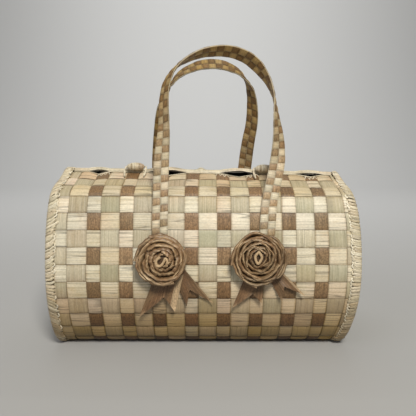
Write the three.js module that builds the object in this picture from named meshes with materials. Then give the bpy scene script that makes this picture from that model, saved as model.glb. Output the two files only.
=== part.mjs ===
// Woven leaf purse: a loaf-shaped barrel of plaited palm leaf with bound ends, a mouth along the top
// that gapes in four places, two strap handles and two coiled leaf roses with notched tails.
// Millimetres, +Z up, +X along the barrel, front towards -Y, standing on its flat base.
import * as THREE from 'three';

// Driving dimensions
const LENGTH = 260; // over both end rims
const DEPTH = 112; // from the belly line to the back, without the roses
const LIP_HEIGHT = 146.8; // edge of the front lip above the floor, at mid length
const LIP_FALL = 4; // the right end is this much lower than the left one
const BACK_LIP_RISE = 1.2; // the back lip stands this much above the front one
const WALL = 2; // plaited leaf, two strips thick
const GAP = 0.3; // clearance between neighbouring pieces
const LIP_RADIUS = 0.6; // half the thickness of the bound edge of the mouth
const RIM_WIDTH = 8; // along the barrel
const RIM_DEPTH = 7; // towards the barrel's axis
const RIM_PROUD = 1; // the rim stands this much out of the wall
const RIM_CREST = 3.4; // and this much higher where it crosses the closed mouth
const DISC_GAP = 0.9; // round a disc; less at the rim's tight lower corners
const END_DOME = 2; // the end discs swell by this much
const STRAP_WIDTH = 13;
const STRAP_THICKNESS = 2.2;
const STRAP_GAP = 0.5; // between a strap's foot and the wall
const STRAP_BEVEL = 1; // width of the thinned edges of a strap
const ROSE_HEIGHT_ON_WALL = 81.3;
const COIL_THICKNESS = 1.4; // folded leaf of a rose
const TAIL_THICKNESS = 0.9;
const TAIL_LIFT = 3; // tips of the tails stand off the wall
const LOOP_RADIUS = 1.3;
const LOOP_REACH = 9.3; // half the width of a closing loop
const KNOT = { x: 7.8, y: 4, z: 3.6 }; // half sizes of a closing knot

// Front half of the cross-section, from the flat base up to the roof beside the lip.
// inset is measured back from the belly line, height up from the floor.
const PROFILE = [
  { place: 'base edge', inset: 31, height: 0 },
  { place: 'heel', inset: 20.5, height: 2.4 },
  { place: 'lower corner', inset: 12.5, height: 10 },
  { place: 'lower side', inset: 6, height: 23 },
  { place: 'flank', inset: 1.6, height: 38 },
  { place: 'belly', inset: 0, height: 60 },
  { place: 'mid side', inset: 3.4, height: 84 },
  { place: 'upper side', inset: 9, height: 109 },
  { place: 'shoulder', inset: 16.5, height: 130 },
  { place: 'roof edge', inset: 24.5, height: 136.5 },
  { place: 'roof', inset: 38, height: 141 },
];

// Places along the mouth where the lips gape: each lip moves out, the front one dips, the back one rises.
const MOUTH_GAPS = [
  { centre: -96, half: 10, front: 3.4, back: 1.6, dip: 2.2, rise: 1 },
  { centre: -33, half: 18, front: 5.6, back: 2.4, dip: 2.4, rise: 1.8 },
  { centre: 31.5, half: 18, front: 6.4, back: 2.4, dip: 2.6, rise: 1.8 },
  { centre: 97.5, half: 14.5, front: 4.4, back: 1.8, dip: 1.6, rise: 1 },
];

const BOW_POWER = 1.3; // roundness of the back lip's bows

// Both ends are pulled in above and below the mid height, and their rims thin out towards the crest.
const MID_HEIGHT = 80;
const ENDS = {
  left: { side: -1, pullTop: 4.8, pullBase: 1.5, crestThin: 0.15 },
  right: { side: 1, pullTop: 8, pullBase: 8.5, crestThin: 0.5 },
};
const PULL_REACH = 6; // power with which the pull fades towards the middle of the barrel
const THIN_FROM = 110; // height from which a rim thins out

// Straps: feet lie on the wall at the stated heights, the arch between them is free.
// turn is the roll of the strap about its own run, in degrees.
const FOOT_HEIGHTS = [77, 85, 93, 101, 109, 117, 125];
const HANDLES = {
  handle_front: {
    side: -1,
    feet: { left: { x: -35.8, drift: 0.2, turn: 0 }, right: { x: 51.5, drift: 2.8, turn: 0 } },
    arch: [
      { x: -35, y: -36, z: 158, turn: -5 },
      { x: -34.2, y: -33, z: 171, turn: -22 },
      { x: -33.2, y: -31, z: 184, turn: -38 },
      { x: -33, y: -29, z: 196, turn: -46 },
      { x: -32.8, y: -27, z: 211, turn: -53 },
      { x: -30.6, y: -24.5, z: 224, turn: -60 },
      { x: -24.5, y: -22, z: 235.5, turn: -78 },
      { x: -14, y: -20, z: 243.3, turn: -98 },
      { x: -1.3, y: -19, z: 248.6, turn: -111 },
      { x: 8, y: -18, z: 250.3, turn: -118 },
      { x: 18, y: -18, z: 250.6, turn: -123 },
      { x: 27, y: -18.5, z: 248.9, turn: -126 },
      { x: 36.6, y: -19, z: 244.8, turn: -129 },
      { x: 44.1, y: -20, z: 238.8, turn: -128 },
      { x: 51.1, y: -22, z: 230, turn: -112 },
      { x: 55.9, y: -23.5, z: 221, turn: -98 },
      { x: 59.2, y: -25, z: 210.2, turn: -83 },
      { x: 60.8, y: -28, z: 196, turn: -64 },
      { x: 62.4, y: -30.5, z: 179.2, turn: -42 },
      { x: 62.2, y: -32.5, z: 169, turn: -26 },
      { x: 60.8, y: -35.5, z: 156, turn: -5 },
    ],
  },
  handle_back: {
    side: 1,
    feet: { left: { x: -46, drift: 0.5, turn: 180 }, right: { x: 37, drift: 1.4, turn: 180 } },
    arch: [
      { x: -45, y: 36.5, z: 154, turn: 182 },
      { x: -43.4, y: 33, z: 172, turn: 190 },
      { x: -41.6, y: 30, z: 189, turn: 204 },
      { x: -39.6, y: 27.5, z: 205, turn: 228 },
      { x: -35.6, y: 25, z: 219, turn: 262 },
      { x: -29, y: 22.5, z: 229.5, turn: 286 },
      { x: -21.5, y: 20.5, z: 236.7, turn: 299 },
      { x: -12.8, y: 19.3, z: 241, turn: 307 },
      { x: -3.6, y: 18.5, z: 244, turn: 313 },
      { x: 6.4, y: 18, z: 245, turn: 316 },
      { x: 15.8, y: 18, z: 244.3, turn: 314 },
      { x: 25.4, y: 18.6, z: 241.4, turn: 306 },
      { x: 33.6, y: 20, z: 236.9, turn: 291 },
      { x: 39.4, y: 22.3, z: 230.4, turn: 270 },
      { x: 43.6, y: 25, z: 221.5, turn: 246 },
      { x: 45.8, y: 28.2, z: 206.5, turn: 228 },
      { x: 45.6, y: 31, z: 191, turn: 217 },
      { x: 43.4, y: 33.5, z: 177, turn: 208 },
      { x: 41.4, y: 36, z: 162, turn: 196 },
    ],
  },
};

// A rose is one folded leaf wound outwards; the outer turns lean out like petals.
const COIL_TURNS = 4.4;
const COIL = [
  { turn: 0, radius: 1.6, lean: 0, height: 9.5 },
  { turn: 1.4, radius: 5.4, lean: 6, height: 10.5 },
  { turn: 2.9, radius: 9.8, lean: 16, height: 10 },
  { turn: COIL_TURNS, radius: 15.2, lean: 34, height: 7.8 },
];
const ROSES = {
  rosette_left: { x: -34.2, start: 40 },
  rosette_right: { x: 44.8, start: 150 },
};

// Notched tails, as places across and below the centre of their rose: the gathered root and the V end.
const TAILS = {
  tail_left_a: {
    rose: 'rosette_left',
    root: [{ dx: -5, dz: -15 }, { dx: 5, dz: -13.5 }, { dx: 13.4, dz: -12 }],
    end: [{ dx: -19, dz: -46.9 }, { dx: 1.9, dz: -29.7 }, { dx: 9.6, dz: -41.3 }],
  },
  tail_left_b: {
    rose: 'rosette_left',
    root: [{ dx: 14.6, dz: -12 }, { dx: 16.4, dz: -10 }, { dx: 18, dz: -8 }],
    end: [{ dx: 20.3, dz: -38.7 }, { dx: 22.4, dz: -27.1 }, { dx: 42.4, dz: -36.1 }],
  },
  tail_right_a: {
    rose: 'rosette_right',
    root: [{ dx: -9, dz: -12 }, { dx: -1, dz: -13 }, { dx: 6, dz: -13.5 }],
    end: [{ dx: -20.6, dz: -40.4 }, { dx: -4.3, dz: -28.3 }, { dx: 3.2, dz: -36.5 }],
  },
  tail_right_b: {
    rose: 'rosette_right',
    root: [{ dx: 7.4, dz: -13.6 }, { dx: 12, dz: -11.5 }, { dx: 16.5, dz: -8 }],
    end: [{ dx: 19.5, dz: -34.3 }, { dx: 21.6, dz: -22.4 }, { dx: 39.1, dz: -30.1 }],
  },
};

// Knots on the front lip, each caught by a loop that is rooted in the front roof.
const KNOT_DEPTH = -3; // in front of the lips
const CLOSURES = { left: -61.5, right: 54.2 };

const LEAF = { cream: 0xcdbf92, rim: 0xc2b184, brown: 0x9a6f48, tan: 0xa98a5f, strap: 0xb99a6b };

// Steps of the faceted solids
const SIDE_STEPS = 2 * PROFILE.length;
const RIM_STEPS = 48;
const RIM_SIDES = 8;
const STRAP_STEPS = 66;
const COIL_STEPS_PER_TURN = 18;
const TAIL_STEPS = 5;
const CORD_SIDES = 6;
const LOOP_STEPS = 24;
const DISC_RINGS = [0.06, 0.4, 0.72, 1];

const WALL_HALF = LENGTH / 2 - RIM_WIDTH - GAP;
const LIP_SEAM = LIP_RADIUS + GAP / 2;

// Places along the barrel where its sections are taken: close together where the lips gape.
const GAP_SHARES = [-1, -0.5, 0, 0.5, 1];
const GAP_PLACES = MOUTH_GAPS.flatMap((gap) => GAP_SHARES.map((share) => gap.centre + share * gap.half));
const END_PLACES = [-1, -0.95, 0.97, 1].map((share) => share * WALL_HALF);
const STATIONS = [...GAP_PLACES, ...END_PLACES].sort((a, b) => a - b);

// How far the lips gape at a place along the mouth: the front lip folds down in a V, the back lip bows.
function gapeAt(x) {
  const gap = MOUTH_GAPS.find((row) => Math.abs(x - row.centre) < row.half);
  if (!gap) {
    return { front: 0, back: 0, dip: 0, rise: 0 };
  }
  const reach = Math.abs(x - gap.centre) / gap.half;
  const fold = 1 - reach;
  const bow = (1 - reach ** 2) ** BOW_POWER;
  return { front: gap.front * fold, dip: gap.dip * fold, back: gap.back * bow, rise: gap.rise * bow };
}

// The barrel is a little taller at its left end.
const heightScale = (x) => 1 - ((LIP_FALL / LIP_HEIGHT) * x) / LENGTH;

// How far an end is pulled in at a height.
function endPull(side, height) {
  const end = side < 0 ? ENDS.left : ENDS.right;
  const reach = (height - MID_HEIGHT) / MID_HEIGHT;
  return (reach > 0 ? end.pullTop : end.pullBase) * reach ** 2;
}

// A point of the barrel, with the ends pulled in.
function onBarrel(x, y, z) {
  const fade = (Math.abs(x) / WALL_HALF) ** PULL_REACH;
  return new THREE.Vector3(x - Math.sign(x) * endPull(Math.sign(x), z) * fade, y, z);
}

// Half of the cross-section from the lip down to the base edge, as (depth, height) points.
function halfSection(x, side) {
  const scale = heightScale(x);
  const gape = gapeAt(x);
  const opening = side < 0 ? gape.front : gape.back;
  const lift = side < 0 ? -gape.dip : gape.rise + BACK_LIP_RISE;
  const rows = PROFILE.map((row) => new THREE.Vector2(row.inset, row.height * scale));
  rows.at(-1).y += lift / 2;
  rows.push(new THREE.Vector2(DEPTH / 2 - LIP_SEAM - opening, LIP_HEIGHT * scale + lift));
  const curve = new THREE.SplineCurve(rows.reverse());
  const points = curve.getPoints(SIDE_STEPS);
  return points.map((p) => new THREE.Vector2(side * (DEPTH / 2 - p.x), Math.max(0, p.y)));
}

// The whole cross-section: front lip, front, base, back, back lip.
function sectionLine(x) {
  return [...halfSection(x, -1), new THREE.Vector2(0, 0), ...halfSection(x, 1).reverse()];
}

// Outward normals of a section that runs from the front lip under the base to the back lip.
function sectionNormals(line) {
  return line.map((_, i) => {
    const run = line[Math.min(i + 1, line.length - 1)].clone().sub(line[Math.max(i - 1, 0)]);
    return new THREE.Vector2(run.y, -run.x).normalize();
  });
}

// A section line moved out along its normals, or in with a negative distance.
function offsetLine(line, distance) {
  const normals = sectionNormals(line);
  return line.map((p, i) => p.clone().addScaledVector(normals[i], distance));
}

// Point and outward normal on the front or back of the barrel at a height.
function wallFace(x, height, side) {
  const line = halfSection(x, side);
  const below = line.findIndex((p) => p.y <= height);
  const [upper, lower] = [line[below - 1], line[below]];
  const share = (upper.y - height) / (upper.y - lower.y);
  const place = upper.clone().lerp(lower, share);
  const run = upper.clone().sub(lower).normalize();
  return {
    point: onBarrel(x, place.x, place.y),
    normal: new THREE.Vector3(0, side * run.y, -side * run.x),
  };
}

// A point that stands off the front or back wall by a distance.
function offWall(x, height, side, distance) {
  const { point, normal } = wallFace(x, height, side);
  return point.addScaledVector(normal, distance);
}

// Turns a solid's faces outwards.
function facedOut(geometry) {
  const index = geometry.index.array;
  const at = (i) => new THREE.Vector3().fromBufferAttribute(geometry.attributes.position, index[i]);
  let volume = 0;
  for (let i = 0; i < index.length; i += 3) {
    volume += at(i).dot(at(i + 1).cross(at(i + 2)));
  }
  if (volume < 0) {
    index.reverse();
  }
  geometry.computeVertexNormals();
  return geometry;
}

// Triangles that close a loop, as a strip that runs from the loop's ends to its middle.
function capTriangles(count) {
  const triangles = [];
  for (let low = 0, high = count - 1; high - low > 1; low += 1, high -= 1) {
    triangles.push([low, low + 1, high]);
    if (high - low > 2) {
      triangles.push([low + 1, high - 1, high]);
    }
  }
  return triangles;
}

// Skins a row of matching closed loops into one solid; a ring joins its last loop to its first.
function loftSolid(loops, ring = false) {
  const count = loops[0].length;
  const triangles = [];
  const spans = ring ? loops.length : loops.length - 1;
  for (let i = 0; i < spans; i += 1) {
    const next = (i + 1) % loops.length;
    for (let j = 0; j < count; j += 1) {
      const k = (j + 1) % count;
      triangles.push(i * count + j, next * count + j, next * count + k);
      triangles.push(i * count + j, next * count + k, i * count + k);
    }
  }
  if (!ring) {
    const lastRow = (loops.length - 1) * count;
    for (const [a, b, c] of capTriangles(count)) {
      triangles.push(a, b, c);
      triangles.push(lastRow + c, lastRow + b, lastRow + a);
    }
  }
  const numbers = loops.flat().flatMap((p) => p.toArray());
  const geometry = new THREE.BufferGeometry();
  geometry.setAttribute('position', new THREE.Float32BufferAttribute(numbers, 3));
  geometry.setIndex(triangles);
  return facedOut(geometry);
}

// A round cord along a list of points.
function cordSolid(points, radius, steps) {
  const round = new THREE.Shape();
  round.absarc(0, 0, radius, 0, Math.PI * 2);
  const outline = new THREE.Shape(round.getSpacedPoints(CORD_SIDES).slice(0, CORD_SIDES));
  const extrudePath = new THREE.CatmullRomCurve3(points);
  return new THREE.ExtrudeGeometry(outline, { steps, bevelEnabled: false, extrudePath });
}

// The plaited wall, lofted through the stations.
function bodyWall() {
  const loops = STATIONS.map((x) => {
    const outer = sectionLine(x);
    const inner = offsetLine(outer, -WALL).reverse();
    return [...outer, ...inner].map((p) => onBarrel(x, p.x, p.y));
  });
  return loftSolid(loops);
}

// A loop of points round a centre, in the plane across the barrel.
function roundLoop(centre, radius) {
  return Array.from({ length: CORD_SIDES }, (_, j) => {
    const angle = ((j + 0.5) / CORD_SIDES) * Math.PI * 2;
    const spoke = new THREE.Vector3(0, Math.cos(angle), Math.sin(angle));
    return centre.clone().addScaledVector(spoke, radius);
  });
}

// Closed line round an end of the barrel, set in from the wall's face by a distance.
function endLine(side, inset) {
  const line = offsetLine(sectionLine(side * WALL_HALF), -inset);
  return line.map((p) => new THREE.Vector2(p.x, Math.max(p.y, inset + RIM_PROUD)));
}

// A rope-like rim: an oval tube laid round the end of the barrel and over the closed mouth.
function endRim(side) {
  const inset = RIM_DEPTH / 2 - RIM_PROUD;
  const crest = new THREE.Vector2(0, LIP_HEIGHT * heightScale(side * WALL_HALF) + RIM_CREST - inset);
  const line = [...endLine(side, inset).slice(1, -1), crest];
  const path = new THREE.CatmullRomCurve3(line.map((p) => new THREE.Vector3(0, p.x, p.y)), true);
  const { crestThin } = side < 0 ? ENDS.left : ENDS.right;
  const loops = [];
  for (let i = 0; i < RIM_STEPS; i += 1) {
    const centre = path.getPointAt(i / RIM_STEPS);
    const run = path.getTangentAt(i / RIM_STEPS);
    const out = new THREE.Vector3(0, run.z, -run.y);
    centre.z = Math.max(centre.z, RIM_DEPTH / 2);
    const reach = Math.max(0, centre.z - THIN_FROM) / (crest.y - THIN_FROM);
    const width = RIM_WIDTH * (1 - crestThin * reach ** 2);
    centre.x = side * (LENGTH / 2 - RIM_WIDTH + width / 2 - endPull(side, centre.z));
    const loop = [];
    for (let j = 0; j < RIM_SIDES; j += 1) {
      const angle = (j / RIM_SIDES) * Math.PI * 2;
      const point = centre.clone().addScaledVector(out, (Math.sin(angle) * RIM_DEPTH) / 2);
      point.x += (Math.cos(angle) * width) / 2;
      point.z = Math.max(0, point.z);
      loop.push(point);
    }
    loops.push(loop);
  }
  return loftSolid(loops, true);
}

// A closing disc inside its rim, swelling a little outwards.
function endDisc(side) {
  const edge = endLine(side, RIM_DEPTH - RIM_PROUD + DISC_GAP).filter((_, i) => i % 2 === 0);
  const middle = LENGTH / 2 - RIM_WIDTH / 2;
  const ringAt = (share, face) =>
    edge.map((p) => {
      const place = new THREE.Vector2(0, MID_HEIGHT).lerp(p, share);
      const swell = END_DOME * (1 - share ** 2) - endPull(side, p.y) * share ** 2;
      return new THREE.Vector3(side * (middle + swell + (face * WALL) / 2), place.x, place.y);
    });
  const outside = DISC_RINGS.map((share) => ringAt(share, 1));
  const inside = DISC_RINGS.map((share) => ringAt(share, -1)).reverse();
  return loftSolid([...outside, ...inside]);
}

// The bound edge of one side of the mouth: a round cord that follows the wall's edge.
function lipEdge(side) {
  const loops = STATIONS.map((x) => {
    const edge = halfSection(x, side)[0];
    const centre = onBarrel(x, edge.x, edge.y + GAP + LIP_RADIUS);
    return roundLoop(centre, LIP_RADIUS);
  });
  return loftSolid(loops);
}

// A plaited strap: up one foot, over the free arch and down the other foot.
function strap({ side, feet, arch }) {
  const off = STRAP_GAP + STRAP_THICKNESS / 2;
  const top = FOOT_HEIGHTS.at(-1);
  const foot = ({ x, drift, turn }) =>
    FOOT_HEIGHTS.map((height) => {
      const share = (height - FOOT_HEIGHTS[0]) / (top - FOOT_HEIGHTS[0]);
      return { place: offWall(x + drift * share ** 2, height, side, off), turn };
    });
  const free = arch.map(({ x, y, z, turn }) => ({ place: new THREE.Vector3(x, y, z), turn }));
  const rows = [...foot(feet.left), ...free, ...foot(feet.right).reverse()];
  const curve = new THREE.CatmullRomCurve3(rows.map((row) => row.place));
  const half = { width: STRAP_WIDTH / 2, thickness: STRAP_THICKNESS / 2 };
  const flat = half.width - STRAP_BEVEL;
  const outline = [
    [-half.width, 0],
    [-flat, -half.thickness],
    [flat, -half.thickness],
    [half.width, 0],
    [flat, half.thickness],
    [-flat, half.thickness],
  ];
  const loops = [];
  for (let i = 0; i <= STRAP_STEPS; i += 1) {
    const t = i / STRAP_STEPS;
    const row = Math.min(Math.floor(t * (rows.length - 1)), rows.length - 2);
    const share = t * (rows.length - 1) - row;
    const turn = THREE.MathUtils.degToRad(THREE.MathUtils.lerp(rows[row].turn, rows[row + 1].turn, share));
    const run = curve.getTangent(t);
    const level = new THREE.Vector3(0, 1, 0).cross(run).normalize();
    const rise = run.clone().cross(level);
    const across = level.multiplyScalar(Math.cos(turn)).addScaledVector(rise, Math.sin(turn));
    const face = across.clone().cross(run);
    const centre = curve.getPoint(t);
    loops.push(outline.map(([w, d]) => centre.clone().addScaledVector(across, w).addScaledVector(face, d)));
  }
  return loftSolid(loops);
}

// Radius, lean and height of the coil at a turn, between the rows of its table.
function coilRow(turn) {
  const upper = COIL.find((row) => row.turn >= turn - 1e-9);
  const lower = COIL[Math.max(COIL.indexOf(upper) - 1, 0)];
  const share = upper === lower ? 0 : (turn - lower.turn) / (upper.turn - lower.turn);
  const between = (column) => THREE.MathUtils.lerp(lower[column], upper[column], share);
  const lean = THREE.MathUtils.degToRad(between('lean'));
  return { radius: between('radius'), lean, height: between('height') };
}

// A rose: the folded leaf wound into a spiral, standing on its own base plane.
function roseCoil(start) {
  const loops = [];
  const steps = Math.round(COIL_TURNS * COIL_STEPS_PER_TURN);
  for (let i = 0; i <= steps; i += 1) {
    const turn = (i / steps) * COIL_TURNS;
    const { radius, lean, height } = coilRow(turn);
    const angle = turn * Math.PI * 2 + THREE.MathUtils.degToRad(start);
    const reach = height * Math.tan(lean);
    const loop = [
      [radius - COIL_THICKNESS / 2, 0],
      [radius + COIL_THICKNESS / 2, 0],
      [radius + COIL_THICKNESS / 2 + reach, height * 0.92],
      [radius + reach, height],
      [radius - COIL_THICKNESS / 2 + reach, height * 0.92],
    ];
    loops.push(loop.map(([r, z]) => new THREE.Vector3(r * Math.cos(angle), r * Math.sin(angle), z)));
  }
  return loftSolid(loops);
}

// A notched leaf tail that hangs down the front from under its rose.
function tail({ rose, root, end }) {
  const at = (row, across) => {
    const low = Math.min(Math.floor(across), 1);
    const share = across - low;
    return {
      dx: THREE.MathUtils.lerp(row[low].dx, row[low + 1].dx, share),
      dz: THREE.MathUtils.lerp(row[low].dz, row[low + 1].dz, share),
    };
  };
  const places = [0, 0.5, 1, 1.5, 2];
  const loops = [];
  for (let i = 0; i <= TAIL_STEPS; i += 1) {
    const run = i / TAIL_STEPS;
    const side = (distance) =>
      places.map((across) => {
        const [from, to] = [at(root, across), at(end, across)];
        const x = ROSES[rose].x + THREE.MathUtils.lerp(from.dx, to.dx, run);
        const height = ROSE_HEIGHT_ON_WALL + THREE.MathUtils.lerp(from.dz, to.dz, run);
        return offWall(x, height, -1, GAP + TAIL_LIFT * run ** 2 + distance);
      });
    loops.push([...side(0), ...side(TAIL_THICKNESS).reverse()]);
  }
  return loftSolid(loops);
}

// Height of the front lip's bound edge at a closed place of the mouth.
const lipTop = (x) => LIP_HEIGHT * heightScale(x) + GAP + 2 * LIP_RADIUS;

// A closing knot that sits on the lips.
function closingKnot() {
  return new THREE.SphereGeometry(1, 12, 8).scale(KNOT.x, KNOT.y, KNOT.z);
}

// A closing loop: two legs out of the front roof, over the lip and round behind the knot.
function closingLoop(x) {
  const top = lipTop(x);
  const leg = (sign) => [
    { dx: sign * (LOOP_REACH - 1), y: -13, z: top - 3.4 },
    { dx: sign * LOOP_REACH, y: -8, z: top - 0.9 },
    { dx: sign * LOOP_REACH, y: -3, z: top + 2.4 },
    { dx: sign * (LOOP_REACH - 1.3), y: 1.2, z: top + 3.6 },
    { dx: sign * 4.2, y: 3.1, z: top + 3.9 },
  ];
  const rows = [...leg(-1), { dx: 0, y: 3.6, z: top + 3.9 }, ...leg(1).reverse()];
  return cordSolid(rows.map((p) => new THREE.Vector3(x + p.dx, p.y, p.z)), LOOP_RADIUS, LOOP_STEPS);
}

// One named piece with its own leaf finish.
function piece(name, geometry, color, roughness = 0.6) {
  const mesh = new THREE.Mesh(geometry, new THREE.MeshStandardMaterial({ color, roughness, metalness: 0 }));
  mesh.name = name;
  return mesh;
}

const assembly = new THREE.Group();
assembly.add(piece('body_wall', bodyWall(), LEAF.cream));
for (const [name, { side }] of Object.entries(ENDS)) {
  assembly.add(piece(`rim_${name}`, endRim(side), LEAF.rim));
  assembly.add(piece(`end_${name}`, endDisc(side), LEAF.cream));
}
assembly.add(piece('lip_front', lipEdge(-1), LEAF.cream));
assembly.add(piece('lip_back', lipEdge(1), LEAF.cream));
for (const [name, row] of Object.entries(HANDLES)) {
  assembly.add(piece(name, strap(row), LEAF.strap));
}
for (const [name, { x, start }] of Object.entries(ROSES)) {
  const rose = piece(name, roseCoil(start), LEAF.tan, 0.5);
  const { normal } = wallFace(x, ROSE_HEIGHT_ON_WALL, -1);
  rose.position.copy(offWall(x, ROSE_HEIGHT_ON_WALL, -1, STRAP_GAP + STRAP_THICKNESS + GAP));
  rose.quaternion.setFromUnitVectors(new THREE.Vector3(0, 0, 1), normal);
  assembly.add(rose);
}
for (const [name, row] of Object.entries(TAILS)) {
  assembly.add(piece(name, tail(row), LEAF.brown, 0.45));
}
for (const [name, x] of Object.entries(CLOSURES)) {
  const knot = piece(`knot_${name}`, closingKnot(), LEAF.cream);
  knot.position.set(x, KNOT_DEPTH, lipTop(x) + GAP + KNOT.z);
  assembly.add(knot);
  assembly.add(piece(`loop_${name}`, closingLoop(x), LEAF.cream));
}

// The origin is under the middle of the whole purse, on the floor.
const box = new THREE.Box3().setFromObject(assembly, true);
const middle = box.getCenter(new THREE.Vector3());
assembly.position.set(-middle.x, -middle.y, -box.min.z);

const purse = new THREE.Group();
purse.name = 'woven_purse';
purse.add(assembly);

export default purse;
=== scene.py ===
"""Dresses the plaited leaf purse: woven strips, whipped rims, checked straps, leaf roses and closing ties.

Lengths are millimetres in the barrel's own axes: X along the barrel, Y to the back with 0 in the barrel's
middle, Z up from the floor. They become metres of the shared frame when a piece's mesh is made.
"""

import logging
import math
from dataclasses import dataclass
from enum import Enum
from typing import NamedTuple

import bpy
import numpy as np
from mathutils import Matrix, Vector


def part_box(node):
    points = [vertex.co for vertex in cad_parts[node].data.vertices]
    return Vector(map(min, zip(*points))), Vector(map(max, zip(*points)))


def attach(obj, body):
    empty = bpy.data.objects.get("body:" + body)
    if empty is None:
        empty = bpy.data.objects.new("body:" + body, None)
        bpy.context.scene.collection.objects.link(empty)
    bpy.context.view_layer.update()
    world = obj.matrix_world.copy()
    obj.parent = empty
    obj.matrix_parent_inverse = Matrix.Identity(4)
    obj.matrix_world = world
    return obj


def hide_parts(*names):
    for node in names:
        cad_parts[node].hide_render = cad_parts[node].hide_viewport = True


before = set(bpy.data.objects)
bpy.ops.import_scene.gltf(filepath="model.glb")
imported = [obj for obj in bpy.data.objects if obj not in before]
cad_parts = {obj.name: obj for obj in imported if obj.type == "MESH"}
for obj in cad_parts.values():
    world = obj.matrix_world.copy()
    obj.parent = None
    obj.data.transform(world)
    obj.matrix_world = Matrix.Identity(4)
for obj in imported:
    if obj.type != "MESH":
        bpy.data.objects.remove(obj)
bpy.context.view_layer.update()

LOG = logging.getLogger("woven_purse")
MM = 0.001
MIDDLE_Y = sum(corner.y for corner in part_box("body_wall")) / 2 / MM
ROUND = 2 * math.pi
NEARLY_ZERO = 1e-9

Array = np.ndarray
Chance = np.random.Generator
Limits = tuple[float, float]
Triple = tuple[float, float, float]


class Side(Enum):
    """The long faces of the barrel."""

    FRONT = -1
    BACK = 1


class End(Enum):
    """The closed ends of the barrel."""

    LEFT = -1
    RIGHT = 1


class Face(Enum):
    """The faces of a strap."""

    OUTER = 1
    INNER = -1


class Lay(Enum):
    """How a strip of an end disc lies."""

    UPRIGHT = 0
    LEVEL = 1


class PerEnd(NamedTuple):
    """A size that differs between the barrel's two ends."""

    left: float
    right: float

    def at(self, end: End) -> float:
        """The size at one end."""
        return self.left if end is End.LEFT else self.right


def linear(colour: str) -> tuple[float, ...]:
    """Turns an sRGB hex colour into linear RGBA."""
    parts = [int(colour[i : i + 2], 16) / 255 for i in (1, 3, 5)]
    return tuple(c / 12.92 if c <= 0.04045 else ((c + 0.055) / 1.055) ** 2.4 for c in parts) + (1.0,)


def add_node(tree: bpy.types.NodeTree, kind: str, inputs: dict | None = None, **settings) -> bpy.types.Node:
    """Adds a node with its settings, its input values and its links.

    Args:
        tree: the node tree to add to.
        kind: the node's type name.
        inputs: for each input's name or number, a value or the socket that feeds it.
        settings: the node's own properties.

    Returns:
        The new node.
    """
    node = tree.nodes.new(kind)
    for name, value in settings.items():
        setattr(node, name, value)
    for key, value in (inputs or {}).items():
        if isinstance(value, bpy.types.NodeSocket):
            tree.links.new(value, node.inputs[key])
        else:
            node.inputs[key].default_value = value
    return node


def add_object(name: str, data: bpy.types.ID) -> bpy.types.Object:
    """Makes an object of a mesh, lamp or camera and puts it in the scene.

    Args:
        name: its name.
        data: what it shows.

    Returns:
        The new object.
    """
    made = bpy.data.objects.new(name, data)
    bpy.context.scene.collection.objects.link(made)
    return made


def smooth_line(points: Array, steps: int, power: float = 0.25, held: bool = False) -> Array:
    """Samples a Catmull-Rom curve.

    Args:
        points: the points to pass, one per row.
        steps: samples in each span.
        power: knot power of the squared distance: 0 for even knots, 0.25 for centripetal ones.
        held: whether the end points are doubled; they are run on otherwise.

    Returns:
        The sampled points, one per row.
    """
    points = np.asarray(points, float)
    first = points[0] if held else 2 * points[0] - points[1]
    last = points[-1] if held else 2 * points[-1] - points[-2]
    padded = np.vstack([first, points, last])
    knots = (np.diff(padded, axis=0) ** 2).sum(axis=1) ** power
    t = np.linspace(0, 1, steps, endpoint=False)[:, None]
    spans = []
    for i in range(len(points) - 1):
        p0, p1, p2, p3 = padded[i : i + 4]
        d0, d1, d2 = knots[i : i + 3]
        m1 = ((p1 - p0) / d0 - (p2 - p0) / (d0 + d1) + (p2 - p1) / d1) * d1
        m2 = ((p2 - p1) / d1 - (p3 - p1) / (d1 + d2) + (p3 - p2) / d2) * d1
        spans.append((2 * (p1 - p2) + m1 + m2) * t**3 + (3 * (p2 - p1) - 2 * m1 - m2) * t**2 + m1 * t + p1)
    return np.vstack([*spans, points[-1:]])


def beside(*parts: Array | float) -> Array:
    """Numbers and arrays stretched to one shape and set side by side on a new last axis."""
    return np.stack(np.broadcast_arrays(*parts), axis=-1)


def blend(limits: Limits, share: Array) -> Array:
    """Goes from the first limit at a share of 0 to the second at 1."""
    return limits[0] + (limits[1] - limits[0]) * share


def run_of(points: Array) -> Array:
    """Length along a line up to each of its points."""
    return np.concatenate([[0.0], np.cumsum(np.linalg.norm(np.diff(points, axis=0), axis=1))])


def along_line(points: Array, run: Array, places: Array) -> Array:
    """Values of a line's columns at given lengths along it."""
    return np.stack([np.interp(places, run, column) for column in points.T], axis=-1)


def unit(vectors: Array) -> Array:
    """Vectors scaled to length 1."""
    return vectors / np.maximum(np.linalg.norm(vectors, axis=-1, keepdims=True), NEARLY_ZERO)


class Wobble(NamedTuple):
    """A slow hand-made wobble: its longest wave in mm and about its largest value."""

    wave: float
    size: float


# The waves of a wobble, in parts of its longest one, and about the most that they add up to.
WOBBLE_PARTS = (1.0, 1.7, 2.9)
WOBBLE_PEAK = 1.9


def wander(along: Array, wobble: Wobble, rng: Chance) -> Array:
    """Lays a wobble over places.

    Args:
        along: the places in mm.
        wobble: its wave and size.
        rng: the seeded source of its phases.

    Returns:
        The wobble at each place.
    """
    parts = zip(WOBBLE_PARTS, rng.uniform(0, ROUND, len(WOBBLE_PARTS)))
    waves = sum(np.sin(ROUND * along * k / wobble.wave + phase) / k for k, phase in parts)
    return wobble.size * waves / WOBBLE_PEAK


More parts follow.
